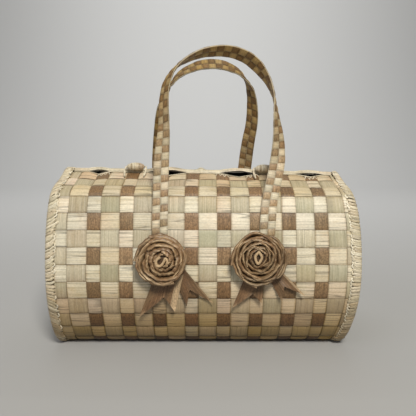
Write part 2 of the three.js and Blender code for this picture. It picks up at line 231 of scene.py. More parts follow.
class StripTint(NamedTuple):
    """Tint of a plait's strips: the limits from strip to strip and the wobble along one, for tone and hue."""

    tone: Limits
    tone_wobble: Wobble
    hue: Limits
    hue_wobble: Wobble

    def draw(self, along: Array, rng: Chance) -> tuple[Array, Array]:
        """Draws the tint of one strip.

        Args:
            along: places along the strip.
            rng: the seeded source.

        Returns:
            The tone and the hue at each place.
        """
        tone = rng.uniform(*self.tone) + wander(along, self.tone_wobble, rng)
        hue = rng.uniform(*self.hue) + wander(along, self.hue_wobble, rng)
        return tone, hue


# How flat a strip lies on top where it crosses over another.
STRIP_FLATNESS = 2.3


def strip_wave(share: Array) -> Array:
    """Height of a strip over one crossing, 0 at its edges and 1 in its middle, flat on top."""
    return np.tanh(STRIP_FLATNESS * np.sin(math.pi * share)) / math.tanh(STRIP_FLATNESS)


class Mark(NamedTuple):
    """A kind of mark on the leaf: its length along the strip, its width across and its noise's detail."""

    length: float
    width: float
    detail: float


@dataclass(frozen=True)
class LeafFinish:
    """Dried palm leaf, split into strips and pressed flat: satin, with fine fibres along the strip.

    The tint of the mesh sets its tone and leans its colour towards green or warm and towards stained or worn;
    painted shade and painted highlights come in through the tone and the wear.
    """

    name: str
    light: str
    dark: str
    green: str
    warm: str
    worn: str
    stain: str
    # Width of a fibre. Real ones are about 0.2 mm wide, too fine to show, so they are drawn coarser.
    fibre: float = 0.42
    fibre_stretch: float = 83.3
    # Spacing of the lighter and darker lines.
    hairline: float = 1.4
    # How strongly stains, creases and rubbed flecks show.
    stained: float = 0.30
    crease: float = 0.45
    fleck: float = 0.10
    roughness: float = 0.50
    # How much rougher the low fibres are, and how much smoother the high ones.
    matt: float = 0.08
    gloss: float = 0.06
    ior: float = 1.45
    # Height of the fibres and the share of it that shows.
    relief: float = 0.14
    relief_share: float = 0.8
    # Values between which most of a noise lies, and the sum of the two that shade the leaf.
    noise_span: Limits = (0.3, 0.7)
    noise_middle: float = 0.5
    shade_span: Limits = (0.7, 1.3)
    # Values of the noise where a stain starts and is full, and half the width of a crease.
    stain_span: Limits = (0.55, 0.78)
    crease_half: float = 0.05

    def marks(self) -> dict[str, Mark]:
        """The leaf's marks with their real sizes in mm, most of them stretched along the strip."""
        return {
            "fibre": Mark(self.fibre_stretch * self.fibre, self.fibre, 3.0),
            "streak": Mark(166.7, self.hairline, 2.0),
            "blotch": Mark(11.1, 6.25, 3.0),
            "vein": Mark(83.3, 2.778, 0.0),
            "fleck": Mark(1.667, 1.25, 3.0),
        }

    def material(self) -> bpy.types.Material:
        """Builds the finish, or finds it if it is there already.

        Returns:
            The material, led by the grain and the tint of the mesh.
        """
        made = bpy.data.materials.get(self.name)
        if made:
            return made
        made = bpy.data.materials.new(self.name)
        made.use_nodes = True
        tree = made.node_tree
        tree.nodes.clear()
        grain = add_node(tree, "ShaderNodeAttribute", attribute_name="grain").outputs["Vector"]
        tint = add_node(tree, "ShaderNodeAttribute", attribute_name="tint").outputs["Vector"]
        tone, hue, wear = add_node(tree, "ShaderNodeSeparateXYZ", {0: tint}).outputs
        noise = {}
        for name, mark in self.marks().items():
            waves = {0: grain, 1: (1 / mark.length, 1 / mark.width, 1.0)}
            place = add_node(tree, "ShaderNodeVectorMath", waves, operation="MULTIPLY").outputs[0]
            laid = {"Vector": place, "Scale": 1.0, "Detail": mark.detail}
            noise[name] = add_node(tree, "ShaderNodeTexNoise", laid).outputs[0]
        lines = {0: noise["fibre"], 1: noise["streak"]}
        shade = add_node(tree, "ShaderNodeMath", lines, operation="ADD").outputs[0]
        # Creases are thin dark lines where the veins' slow noise crosses its middle.
        crossing = {0: noise["vein"], 1: self.noise_middle}
        apart = add_node(tree, "ShaderNodeMath", crossing, operation="SUBTRACT").outputs[0]
        apart = add_node(tree, "ShaderNodeMath", {0: apart}, operation="ABSOLUTE").outputs[0]
        sheen = (self.roughness + self.matt, self.roughness - self.gloss)
        # Each ramp: what it follows, from where to where, and what it gives there.
        ramps = {
            "lit": (shade, *self.shade_span, 0.0, 1.0),
            "blotched": (noise["blotch"], *self.stain_span, 0.0, self.stained),
            "creased": (apart, 0.0, self.crease_half, 1 - self.crease, 1.0),
            "flecked": (noise["fleck"], *self.noise_span, 1 - self.fleck, 1 + self.fleck),
            "rough": (noise["fibre"], *self.noise_span, *sheen),
        }
        given = {}
        for name, ramp in ramps.items():
            given[name] = add_node(tree, "ShaderNodeMapRange", dict(enumerate(ramp))).outputs[0]
        layers = [(given["lit"], self.light), (given["blotched"], self.stain)]
        for source, less, more in ((hue, self.green, self.warm), (wear, self.stain, self.worn)):
            for way, shown in ((-1.0, less), (1.0, more)):
                leaning = {0: source, 1: way}
                share = add_node(tree, "ShaderNodeMath", leaning, operation="MULTIPLY", use_clamp=True)
                layers.append((share.outputs[0], shown))
        colour = linear(self.dark)
        for share, shown in layers:
            layer = {0: share, 6: colour, 7: linear(shown)}
            colour = add_node(tree, "ShaderNodeMix", layer, data_type="RGBA").outputs[2]
        value = add_node(tree, "ShaderNodeMath", {0: tone, 1: 1.0}, operation="ADD").outputs[0]
        for factor in (given["creased"], given["flecked"]):
            value = add_node(tree, "ShaderNodeMath", {0: value, 1: factor}, operation="MULTIPLY").outputs[0]
        toned = add_node(tree, "ShaderNodeHueSaturation", {"Value": value, "Color": colour}).outputs[0]
        raised = {"Height": shade, "Distance": self.relief * MM, "Strength": self.relief_share}
        bump = add_node(tree, "ShaderNodeBump", raised).outputs[0]
        leaf = {"Base Color": toned, "Roughness": given["rough"], "Normal": bump, "IOR": self.ior}
        shader = add_node(tree, "ShaderNodeBsdfPrincipled", leaf).outputs[0]
        add_node(tree, "ShaderNodeOutputMaterial", {"Surface": shader})
        return made


# Pale split leaf of the strips along the wall: straw colour, with thin dark splits along the leaf.
CREAM_PLAIT = LeafFinish(
    "Palm leaf, bleached and plaited",
    light="#e2d9c2", dark="#c1b599", green="#b5b091", warm="#d8bba3", worn="#ece5d2", stain="#b08e46",
    crease=0.52,
)
# Pale leaf of the strips round the wall: a little greyer and finer lined, with few splits.
CREAM_ROUND = LeafFinish(
    "Palm leaf, bleached, fine lined and plaited",
    light="#cdc2a7", dark="#aa9e81", green="#a6a687", warm="#c4a68c", worn="#e2dac7", stain="#a68a54",
    hairline=1.1, crease=0.22,
)
# Dyed leaf of the round strips: faded brown, speckled where the dye has worn off.
BROWN_PLAIT = LeafFinish(
    "Palm leaf, brown dyed and plaited",
    light="#977c5b", dark="#785d40", green="#7c6c4d", warm="#8b6441", worn="#c0a781", stain="#644418",
    fibre=0.35, hairline=0.9, crease=0.16, fleck=0.42,
)
# Leaf sewn over the rims and lips: straw colour, glossier where it is pulled tight over the edge.
WHIPPED_LEAF = LeafFinish(
    "Palm leaf, bleached and whip-stitched",
    light="#d8cdb2", dark="#b3a484", green="#aba488", warm="#c2a17e", worn="#ebe3cd", stain="#8f7240",
    roughness=0.40,
)
# Pale narrow leaf of the straps: warmer and more handled than the wall.
STRAP_CREAM = LeafFinish(
    "Palm leaf, bleached, narrow plait",
    light="#dfd4b9", dark="#bfb090", green="#aea384", warm="#c7aa86", worn="#e8dec8", stain="#a88336",
    fibre=0.3, crease=0.3,
)
# Dyed narrow leaf of the straps: brown checks with darker handling marks.
STRAP_BROWN = LeafFinish(
    "Palm leaf, brown dyed, narrow plait",
    light="#b39976", dark="#927855", green="#8f8160", warm="#a27b53", worn="#cdb694", stain="#7d5a22",
    fibre=0.3, stained=0.4, crease=0.3, fleck=0.30,
)
# Folded leaf of the roses: tan brown; the tint paints the folds pale as highlights with wear, and paints
# shade down in the coil.
ROSE_LEAF = LeafFinish(
    "Palm leaf, tan dyed and folded",
    light="#8d6c48", dark="#60462c", green="#725f44", warm="#7d5638", worn="#c4aa84", stain="#3e2c1a",
    fibre=0.55, roughness=0.44, relief=0.2, crease=0.5, fleck=0.20,
)
# Flat leaf of the tails: brown with long pale fibre lines.
TAIL_LEAF = LeafFinish(
    "Palm leaf, brown dyed, laid flat",
    light="#7e6143", dark="#523c26", green="#645339", warm="#6e4c30", worn="#b59b78", stain="#312315",
    fibre=0.6, roughness=0.46, relief=0.2, crease=0.4, fleck=0.34,
)


class Draft:
    """Gathers lofted solids with their leaf data and turns them into one piece.

    Every point carries two attributes. The grain is the place in mm along and across the leaf, with a number
    for the strip. The tint is the tone, the hue from green to warm, and the wear from stained to rubbed; the
    tone also carries painted shade and the wear painted highlights.
    """

    # Section of a strand, a broad low oval: powers of its width and its thickness.
    WIDTH_POWER = 0.7
    THICKNESS_POWER = 0.8

    def __init__(self, name: str) -> None:
        """Starts an empty piece.

        Args:
            name: the piece's name.
        """
        self.name = name
        self.points: list[Array] = []
        self.grain: list[Array] = []
        self.tint: list[Array] = []
        self.quads: list[Array] = []
        self.count = 0

    def loft(self, loops: Array, grain: Array, tint: Array, ring: bool = False) -> None:
        """Skins matching closed loops into one closed solid.

        Args:
            loops: points, shaped (loops, points of a loop, 3), with an even number of points in a loop.
            grain: grain of every point, in a shape that broadcasts to the points.
            tint: tint of every point, likewise.
            ring: whether the last loop joins the first, so that no caps are needed.
        """
        rows, count, _ = loops.shape
        index = np.arange(rows * count).reshape(rows, count)
        across = np.roll(index, -1, axis=1)
        after = np.roll(index, -1, axis=0)
        after_across = np.roll(across, -1, axis=0)
        quads = np.stack([index, after, after_across, across], axis=-1)
        quads = (quads if ring else quads[:-1]).reshape(-1, 4)
        if not ring:
            low = np.arange(count // 2 - 1)
            cap = np.stack([low, low + 1, count - 2 - low, count - 1 - low], axis=-1)
            quads = np.vstack([quads, cap, cap[:, ::-1] + (rows - 1) * count])
        flat = loops.reshape(-1, 3)
        centred = flat - flat.mean(axis=0)
        a, b, c, d = (centred[quads[:, i]] for i in range(4))
        volume = (a * np.cross(b, c)).sum() + (a * np.cross(c, d)).sum()
        self.quads.append((quads if volume > 0 else quads[:, ::-1]) + self.count)
        self.points.append(flat)
        self.grain.append(np.broadcast_to(grain, loops.shape).reshape(-1, 3))
        self.tint.append(np.broadcast_to(tint, loops.shape).reshape(-1, 3))
        self.count += len(flat)

    def sheet(
        self, top: Array, under: Array, grain: Array, tint: Array, under_tint: Array | None = None
    ) -> None:
        """Adds a thin closed leaf between two matching faces.

        Args:
            top: points of the upper face, shaped (along, across, 3).
            under: points of the lower face, likewise.
            grain: grain of both faces, likewise.
            tint: tint of the upper face, and of the lower one unless that is given.
            under_tint: tint of the lower face.
        """
        under_tint = tint if under_tint is None else under_tint
        faces = ((top, under), (grain, grain), (tint, under_tint))
        self.loft(*(np.concatenate([upper, lower[:, ::-1]], axis=1) for upper, lower in faces))

    def strand(
        self, path: Array, face: Array, width: Array | float, thickness: float, number: float, tint: Array,
        sides: int = 8, ring: bool = False,
    ) -> None:
        """Adds a flat leaf strand along a path.

        Args:
            path: the strand's middle line.
            face: the way its flat side faces at each point.
            width: its width, once or at each point.
            thickness: its thickness.
            number: the strand's number for its grain.
            tint: its tint, shaped to broadcast to (points, sides, 3).
            sides: points round its section, an even number.
            ring: whether it closes on itself.
        """
        run = unit(np.roll(path, -1, 0) - np.roll(path, 1, 0) if ring else np.gradient(path, axis=0))
        across = unit(np.cross(run, face))
        face = unit(np.cross(across, run))
        angle = ROUND * (np.arange(sides) + 0.5) / sides
        wide = np.sign(np.cos(angle)) * np.abs(np.cos(angle)) ** self.WIDTH_POWER
        wide = np.broadcast_to(np.asarray(width, float) / 2, len(path))[:, None] * wide
        thick = np.sign(np.sin(angle)) * np.abs(np.sin(angle)) ** self.THICKNESS_POWER * thickness / 2
        loops = path[:, None] + across[:, None] * wide[..., None] + face[:, None] * thick[:, None]
        self.loft(loops, beside(run_of(path)[:, None], wide, number), tint, ring)

    def build(self, finish: LeafFinish, slot: str, *nodes: str, crease: float = 42.0) -> None:
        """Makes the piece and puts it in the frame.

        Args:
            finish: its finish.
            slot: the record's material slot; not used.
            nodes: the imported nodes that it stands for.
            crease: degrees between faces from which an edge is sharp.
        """
        points = np.vstack(self.points)
        points[:, 1] += MIDDLE_Y
        # Leaf that meets the floor lies flat on it.
        points[:, 2] = np.maximum(points[:, 2], 0.0)
        quads = np.vstack(self.quads)
        mesh = bpy.data.meshes.new(self.name)
        mesh.vertices.add(len(points))
        mesh.vertices.foreach_set("co", (points * MM).ravel())
        mesh.loops.add(quads.size)
        mesh.loops.foreach_set("vertex_index", quads.ravel())
        mesh.polygons.add(len(quads))
        mesh.polygons.foreach_set("loop_start", np.arange(0, quads.size, 4))
        mesh.polygons.foreach_set("use_smooth", np.ones(len(quads), bool))
        for name, values in (("grain", self.grain), ("tint", self.tint)):
            layer = mesh.attributes.new(name, "FLOAT_VECTOR", "POINT")
            layer.data.foreach_set("vector", np.vstack(values).ravel())
        mesh.update(calc_edges=True)
        mesh.validate()
        mesh.set_sharp_from_angle(angle=math.radians(crease))
        mesh.materials.append(finish.material())
        piece = add_object(self.name, mesh)
        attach(piece, "root")
        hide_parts(*nodes)
        LOG.info("%s: %d faces for %s", self.name, len(quads), ", ".join(nodes))


class SectionRow(NamedTuple):
    """A point of the barrel's cross-section: how far in from the belly line, and how high."""

    inset: float
    height: float


class Gape(NamedTuple):
    """A place where the lips stand apart: the front folds down in a V, the back bows up."""

    centre: float
    half: float
    front: float
    back: float
    dip: float
    rise: float


@dataclass
class Barrel:
    """The purse's body surface, with tables to find a place on it from X and the length round the barrel."""

    length: float = 260.0
    depth: float = 112.0
    # Half of the wall's length between the rims.
    half: float = 121.7
    wall: float = 2.0
    lip_height: float = 146.8
    # How much lower the lip is at the right end, and how much higher at the back.
    lip_fall: float = 4.0
    back_rise: float = 1.2
    # Half of the seam between the closed lips.
    lip_seam: float = 0.75
    bow_power: float = 1.3
    # How far the ends are pulled in at the top and at the base, and how fast this fades.
    pull_top: PerEnd = PerEnd(4.8, 8.0)
    pull_base: PerEnd = PerEnd(1.5, 8.5)
    pull_reach: float = 6.0
    mid_height: float = 80.0
    section: tuple[SectionRow, ...] = (
        SectionRow(31, 0), SectionRow(20.5, 2.4), SectionRow(12.5, 10), SectionRow(6, 23),
        SectionRow(1.6, 38), SectionRow(0, 60), SectionRow(3.4, 84), SectionRow(9, 109),
        SectionRow(16.5, 130), SectionRow(24.5, 136.5), SectionRow(38, 141),
    )
    gapes: tuple[Gape, ...] = (
        Gape(-96, 10, 3.4, 1.6, 2.2, 1), Gape(-33, 18, 5.6, 2.4, 2.4, 1.8),
        Gape(31.5, 18, 6.4, 2.4, 2.6, 1.8), Gape(97.5, 14.5, 4.4, 1.8, 1.6, 1),
    )
    section_steps: int = 10
    # Reach and step of the tables, and the share of a step that a place stays inside them.
    arc_reach: float = 230.0
    table_step: float = 1.0
    table_margin: float = 0.001

    def __post_init__(self) -> None:
        """Fills the tables of place and outward normal by X and by length from the base's middle."""
        self.xs = np.linspace(-self.half, self.half, int(2 * self.half / self.table_step) + 1)
        self.arcs = np.arange(-self.arc_reach, self.arc_reach + self.table_step, self.table_step)
        rows = []
        lips = []
        for x in self.xs:
            line, run, normals = self.section_line(x)
            rows.append(along_line(np.hstack([line, normals]), run, self.arcs))
            lips.append((run[0], run[-1]))
        self.table = np.array(rows)
        self.lips = np.array(lips)

    def scale(self, x: float) -> float:
        """The barrel is a little taller at its left end."""
        return 1 - self.lip_fall / self.lip_height * x / self.length

    def half_section(self, x: float, side: Side) -> Array:
        """Half of the section at X.

        Args:
            x: place along the barrel.
            side: which half.

        Returns:
            Its (Y, Z) points from the lip down to the base's edge.
        """
        opening = 0.0
        lift = self.back_rise if side is Side.BACK else 0.0
        for gape in self.gapes:
            reach = abs(x - gape.centre) / gape.half
            if reach < 1:
                bow = (1 - reach**2) ** self.bow_power
                opening = gape.front * (1 - reach) if side is Side.FRONT else gape.back * bow
                lift += -gape.dip * (1 - reach) if side is Side.FRONT else gape.rise * bow
        rows = [[row.inset, row.height * self.scale(x)] for row in self.section]
        rows[-1][1] += lift / 2
        rows.append([self.depth / 2 - self.lip_seam - opening, self.lip_height * self.scale(x) + lift])
        line = smooth_line(np.array(rows[::-1]), self.section_steps, power=0.0, held=True)
        return beside(side.value * (self.depth / 2 - line[:, 0]), np.maximum(line[:, 1], 0))

    def section_line(self, x: float) -> tuple[Array, Array, Array]:
        """The whole section at X.

        Args:
            x: place along the barrel.

        Returns:
            Its (Y, Z) points from the front lip under the base to the back lip, their length from the base's
            middle, which is below 0 in front, and their outward normals.
        """
        front = self.half_section(x, Side.FRONT)
        line = np.vstack([front, [[0.0, 0.0]], self.half_section(x, Side.BACK)[::-1]])
        run = run_of(line)
        slope = np.gradient(line, axis=0)
        return line, run - run[len(front)], unit(beside(slope[:, 1], -slope[:, 0]))

    def pull(self, end: End, height: Array) -> Array:
        """How far an end is pulled in at a height."""
        reach = (height - self.mid_height) / self.mid_height
        return np.where(reach > 0, self.pull_top.at(end), self.pull_base.at(end)) * reach**2

    def look_up(self, x: Array, arc: Array) -> Array:
        """Reads the table of the outer face between its entries.

        Args:
            x: places along the barrel.
            arc: lengths round the barrel from the base's middle, below 0 in front.

        Returns:
            Y, Z and the outward normal's Y and Z at each place.
        """
        last = 1 + self.table_margin
        u = np.clip((x - self.xs[0]) / (self.xs[1] - self.xs[0]), 0, len(self.xs) - last)
        v = np.clip((arc - self.arcs[0]) / self.table_step, 0, len(self.arcs) - last)
        i = u.astype(int)
        j = v.astype(int)
        p = (u - i)[..., None]
        q = (v - j)[..., None]
        near = self.table[i, j] * (1 - q) + self.table[i, j + 1] * q
        far = self.table[i + 1, j] * (1 - q) + self.table[i + 1, j + 1] * q
        return near * (1 - p) + far * p

    def place(self, x: Array, arc: Array, lift: Array) -> Array:
        """Points on the barrel.

        Args:
            x: place along the barrel.
            arc: length round the barrel from the base's middle, below 0 in front.
            lift: height out from the wall's outer face.

        Returns:
            The points, with the ends pulled in.
        """
        x, arc, lift = np.broadcast_arrays(np.asarray(x, float), arc, lift)
        y, z, normal_y, normal_z = np.moveaxis(self.look_up(x, arc), -1, 0)
        y = y + normal_y * lift
        z = z + normal_z * lift
        pull = np.where(x < 0, self.pull(End.LEFT, z), self.pull(End.RIGHT, z))
        fade = (np.abs(x) / self.half) ** self.pull_reach
        return beside(x - np.sign(x) * pull * fade, y, z)

    def lip(self, x: Array, side: Side) -> Array:
        """Length round the barrel of the lip at X."""
        return np.interp(x, self.xs, self.lips[:, 0 if side is Side.FRONT else 1])

    def arc_at(self, x: float, height: float, side: Side) -> float:
        """Finds where a side reaches a height.

        Args:
            x: place along the barrel.
            height: the height above the floor.
            side: the side to look on.

        Returns:
            The length round the barrel from the base's middle, below 0 in front.
        """
        row = self.table[int(np.argmin(np.abs(self.xs - x)))]
        part = self.arcs < 0 if side is Side.FRONT else self.arcs > 0
        order = np.argsort(row[part, 1], kind="stable")
        return float(np.interp(height, row[part, 1][order], self.arcs[part][order]))

    def on_wall(self, x: Array, height: Array, side: Side, lift: Array) -> Array:
        """Points off a side of the wall.

        Args:
            x: places along the barrel.
            height: heights above the floor.
            side: the side that they lie on.
            lift: heights out from the wall's outer face.

        Returns:
            The points.
        """
        x, height, lift = np.broadcast_arrays(np.asarray(x, float), height, lift)
        arcs = [self.arc_at(a, b, side) for a, b in zip(x.ravel(), height.ravel())]
        return self.place(x, np.array(arcs).reshape(x.shape), lift)


class Column(NamedTuple):
    """A strip that runs round the barrel."""

    left: float
    right: float
    number: int
    brown: bool


@dataclass
class Plait:
    """The barrel's over-and-under wall: brown and cream strips in turn round it, and cream ones along it."""

    barrel: Barrel
    row_pitch: float = 14.3
    # A height on the front at which two rows meet.
    row_height: float = 90.9
    brown_first: float = -90.7
    brown_pitch: float = 26.9
    brown_width: float = 11.5
    brown_count: int = 8
    # Inner edges of the outermost columns.
    edge_left: float = -112.8
    edge_right: float = 118.5
    thickness: float = 0.55
    weave: float = 0.6
    crown: float = 0.18
    clearance: float = 0.2
    # The strips run on under the wraps of the rims and stop short of the lips.
    tuck: float = 1.4
    lip_gap: float = 0.2
    # Samples across a strip, close together at its edges, and along it.
    across: tuple[float, ...] = (-1.0, -0.92, -0.6, 0.0, 0.6, 0.92, 1.0)
    round_samples: int = 330
    along_samples: int = 200
    # About the length of a strip round the barrel.
    round_length: float = 420.0
    # Wobble of a round strip's middle, half width and crossings.
    round_drift: Wobble = Wobble(90, 0.28)
    round_taper: Wobble = Wobble(60, 0.22)
    round_slip: Wobble = Wobble(70, 0.3)
    round_tint: StripTint = StripTint((-0.07, 0.05), Wobble(55, 0.06), (-0.28, 0.2), Wobble(64, 0.25))
    # Wobble of an along strip's two edges and crossings.
    along_drift: tuple[Wobble, Wobble] = (Wobble(110, 0.25), Wobble(90, 0.25))
    along_slip: Wobble = Wobble(80, 0.3)
    along_tint: StripTint = StripTint((-0.01, 0.09), Wobble(47, 0.06), (-0.15, 0.15), Wobble(58, 0.2))
    # The rows next to the front lip are warmer: how much they share in it, and its mean and wobble.
    lip_rows: tuple[float, ...] = (1.0, 0.8)
    lip_warmth: float = 0.25
    lip_wobble: Wobble = Wobble(33, 0.3)
    # Painted shade: a strip is darker along its edges, as if shaded by the strips next to it.
    edge_shade: float = 0.3
    edge_power: int = 12
    # Painted shade: tone of the inner faces, dark for the inside of the closed purse.
    inner_shade_tone: float = -0.94
    # Painted shade where a strip dips under the next: its change of tint, and the wave below which it starts.
    dip: Triple = (-0.36, 0.3, -0.4)
    dip_shade_from: float = 0.3
    dip_shade_power: float = 1.5
    # Painted shade with a warm painted reflection: change of tint from a height down to the base.
    low_shade: Triple = (-0.43, 0.9, -0.95)
    low_shade_height: float = 72.0
    # Change of tint from a height up to the lips.
    age: Triple = (-0.02, 0.0, -0.3)
    age_height: float = 120.0
    age_over: float = 16.0
    # Spread of the tint from cell to cell.
    cell_spread: Triple = (0.045, 0.11, 0.1)
    cell_seed: int = 12
    seed: int = 11
    # Steps of the grain's number from strip to strip.
    round_step: float = 7.3
    along_first: float = 31.7
    along_step: float = 5.1
    # Numbers of the columns before the first brown one.
    columns_before: int = 2

    def __post_init__(self) -> None:
        """Works out the columns and where the rows start."""
        barrel = self.barrel
        edges = [-barrel.half - self.tuck, self.edge_left]
        for k in range(self.brown_count):
            centre = self.brown_first + self.brown_pitch * k
            edges += [centre - self.brown_width / 2, centre + self.brown_width / 2]
        edges += [self.edge_right, barrel.half + self.tuck]
        self.edges = np.array(edges)
        pairs = enumerate(zip(edges, edges[1:]), start=-self.columns_before)
        browns = range(0, 2 * self.brown_count, 2)
        self.columns = [Column(left, right, k, k in browns) for k, (left, right) in pairs]
        self.row_start = barrel.arc_at(0.0, self.row_height, Side.FRONT)
        lowest = (barrel.lips[:, 0].min() - self.row_start) / self.row_pitch
        highest = (barrel.lips[:, 1].max() - self.row_start) / self.row_pitch
        # A row is there where at least a fifth of it is below the lip.
        self.rows = range(math.ceil(lowest - 0.8), math.floor(highest - 0.2) + 1)
        cells = (len(self.rows) + 2, len(self.columns), 3)
        self.cells = np.random.default_rng(self.cell_seed).normal(0, 1, cells) * self.cell_spread
        self.rng = np.random.default_rng(self.seed)

    def cell(self, row: Array, column: Array) -> Array:
        """Tint of cells by their row and column, added to that of their strip."""
        return self.cells[np.clip(row - self.rows[0], 0, len(self.cells) - 1), column]

    def column_at(self, x: Array) -> Array:
        """Place in the list of columns of the one at X."""
        return np.clip(np.searchsorted(self.edges, x, side="right") - 1, 0, len(self.columns) - 1)

    def round_wave(self, arc: Array, number: int) -> Array:
        """Height of a round strip, by its number, from -1 under the other strips to 1 over them."""
        row, share = np.divmod((arc - self.row_start) / self.row_pitch, 1)
        return np.where((row + number) % 2 == 0, 1, -1) * strip_wave(share)

    def along_wave(self, x: Array, row: int) -> Array:
        """Height of an along strip.

        Args:
            x: places along the barrel.
            row: the strip's number.

        Returns:
            The height from -1 under the other strips to 1 over them.
        """
        k = self.column_at(x)
        share = (x - self.edges[k]) / (self.edges[k + 1] - self.edges[k])
        return np.where((row + k - self.columns_before) % 2 == 0, -1, 1) * strip_wave(share)

    def strip(self, draft: Draft, x: Array, arc: Array, wave: Array, grain: Array, tint: Array) -> None:
        """Adds one closed strip.

        Args:
            draft: the piece it belongs to.
            x: places along the barrel, shaped (samples along, samples across).
            arc: places round the barrel, likewise.
            wave: heights from -1 to 1, likewise.
            grain: the points' grain.
            tint: the points' tint before the painted shade near the base and at the dips, and the change
                towards the lips, are added.
        """
        crown = self.crown * (1 - np.array(self.across) ** 2)
        middle = self.weave * wave - self.barrel.wall / 2
        top = self.barrel.place(x, arc, middle + self.thickness / 2 + crown)
        under = self.barrel.place(x, arc, middle - self.thickness / 2 + crown)
        # Painted shade near the base and where a strip dips under the next, then the change of tint towards
        # the lips.
        low_shaded = np.clip(1 - top[..., 2:] / self.low_shade_height, 0, 1)
        dip_shade_share = np.clip(1 - wave[..., None] / self.dip_shade_from, 0, 1) ** self.dip_shade_power
        aged = np.clip((top[..., 2:] - self.age_height) / self.age_over, 0, 1)
        tint = tint + low_shaded * self.low_shade + dip_shade_share * self.dip + aged * self.age
        # Painted shade: the inner faces are dark for the shade inside the closed purse.
        inner_shaded_tint = tint * [0.0, 1.0, 0.0] + [self.inner_shade_tone, 0.0, 0.0]
        draft.sheet(top, under, grain, tint, inner_shaded_tint)

    def round_strip(self, draft: Draft, column: Column) -> None:
        """Adds one strip round the barrel, from lip to lip.

        Args:
            draft: the piece it belongs to.
            column: where it runs.
        """
        w = np.array(self.across)[None, :]
        share = np.linspace(0, 1, self.round_samples)[:, None]
        run = share * self.round_length
        middle = (column.left + column.right) / 2
        half = (column.right - column.left) / 2 - self.clearance
        drift = wander(run, self.round_drift, self.rng)
        x = middle + drift + w * (half + wander(run, self.round_taper, self.rng))
        x = np.clip(x, self.edges[0], self.edges[-1])
        low = self.barrel.lip(x, Side.FRONT) + self.lip_gap
        high = self.barrel.lip(x, Side.BACK) - self.lip_gap
        arc = low + (high - low) * share
        wave = self.round_wave(arc + wander(run, self.round_slip, self.rng), column.number)
        row = np.floor((arc - self.row_start) / self.row_pitch).astype(int)
        cell = self.cell(row, np.full_like(row, column.number + self.columns_before))
        tone, hue = self.round_tint.draw(run, self.rng)
        tint = beside(tone - self.edge_shade * w**self.edge_power, hue, 0 * arc) + cell
        self.strip(draft, x, arc, wave, beside(arc, w * half, self.round_step * column.number), tint)

    def along_strip(self, draft: Draft, row: int) -> None:
        """Adds one strip along the barrel, cut off by a lip where it meets one.

        Args:
            draft: the piece it belongs to.
            row: the strip's number.
        """
        w = np.array(self.across)[None, :]
        x = np.linspace(self.edges[0], self.edges[-1], self.along_samples)[:, None]
        start = self.row_start + row * self.row_pitch
        top = start + self.clearance + wander(x, self.along_drift[0], self.rng)
        low = start + self.row_pitch - self.clearance + wander(x, self.along_drift[1], self.rng)
        top = np.maximum(top, self.barrel.lip(x, Side.FRONT) + self.lip_gap)
        low = np.minimum(low, self.barrel.lip(x, Side.BACK) - self.lip_gap)
        arc = (top + low) / 2 + w * (low - top) / 2
        xs = x + 0 * arc
        wave = self.along_wave(xs + wander(x, self.along_slip, self.rng), row)
        column = self.column_at(x)
        cell = self.cell(np.full_like(column, row), column)
        tone, hue = self.along_tint.draw(x, self.rng)
        warmth = self.lip_warmth + wander(x, self.lip_wobble, self.rng)
        below_lip = row - self.rows[0]
        if below_lip < len(self.lip_rows):
            hue = hue + self.lip_rows[below_lip] * warmth
        tint = beside(tone - self.edge_shade * w**self.edge_power, hue, 0 * arc) + cell
        self.strip(draft, xs, arc, wave, beside(xs, arc, self.along_first + self.along_step * row), tint)

    def build(self) -> None:
        """Builds the three sets of strips."""
        # The brown strips are the same dyed leaf as the tails.
        sets = (
            ("wall_cream_round", False, CREAM_ROUND, "plaited_leaf"),
            ("wall_brown_round", True, BROWN_PLAIT, "tail_leaf"),
        )
        for name, brown, finish, slot in sets:
            draft = Draft(name)
            for column in self.columns:
                if column.brown is brown:
                    self.round_strip(draft, column)
            draft.build(finish, slot, "body_wall")
        draft = Draft("wall_cream_along")
        for row in self.rows:
            self.along_strip(draft, row)
        draft.build(CREAM_PLAIT, "plaited_leaf", "body_wall")


class StitchRow(NamedTuple):
    """A place on a stitch of a rim.

    It lies along X from the core, or from the stitch's hole, and off the core. The lean is its share of the
    stitch's slant. The swell is its share of what a stitch stands off more or less than its neighbours.
    """

    axial: float
    out: float
    lean: float
    from_hole: bool = False
    swell: float = 0.0


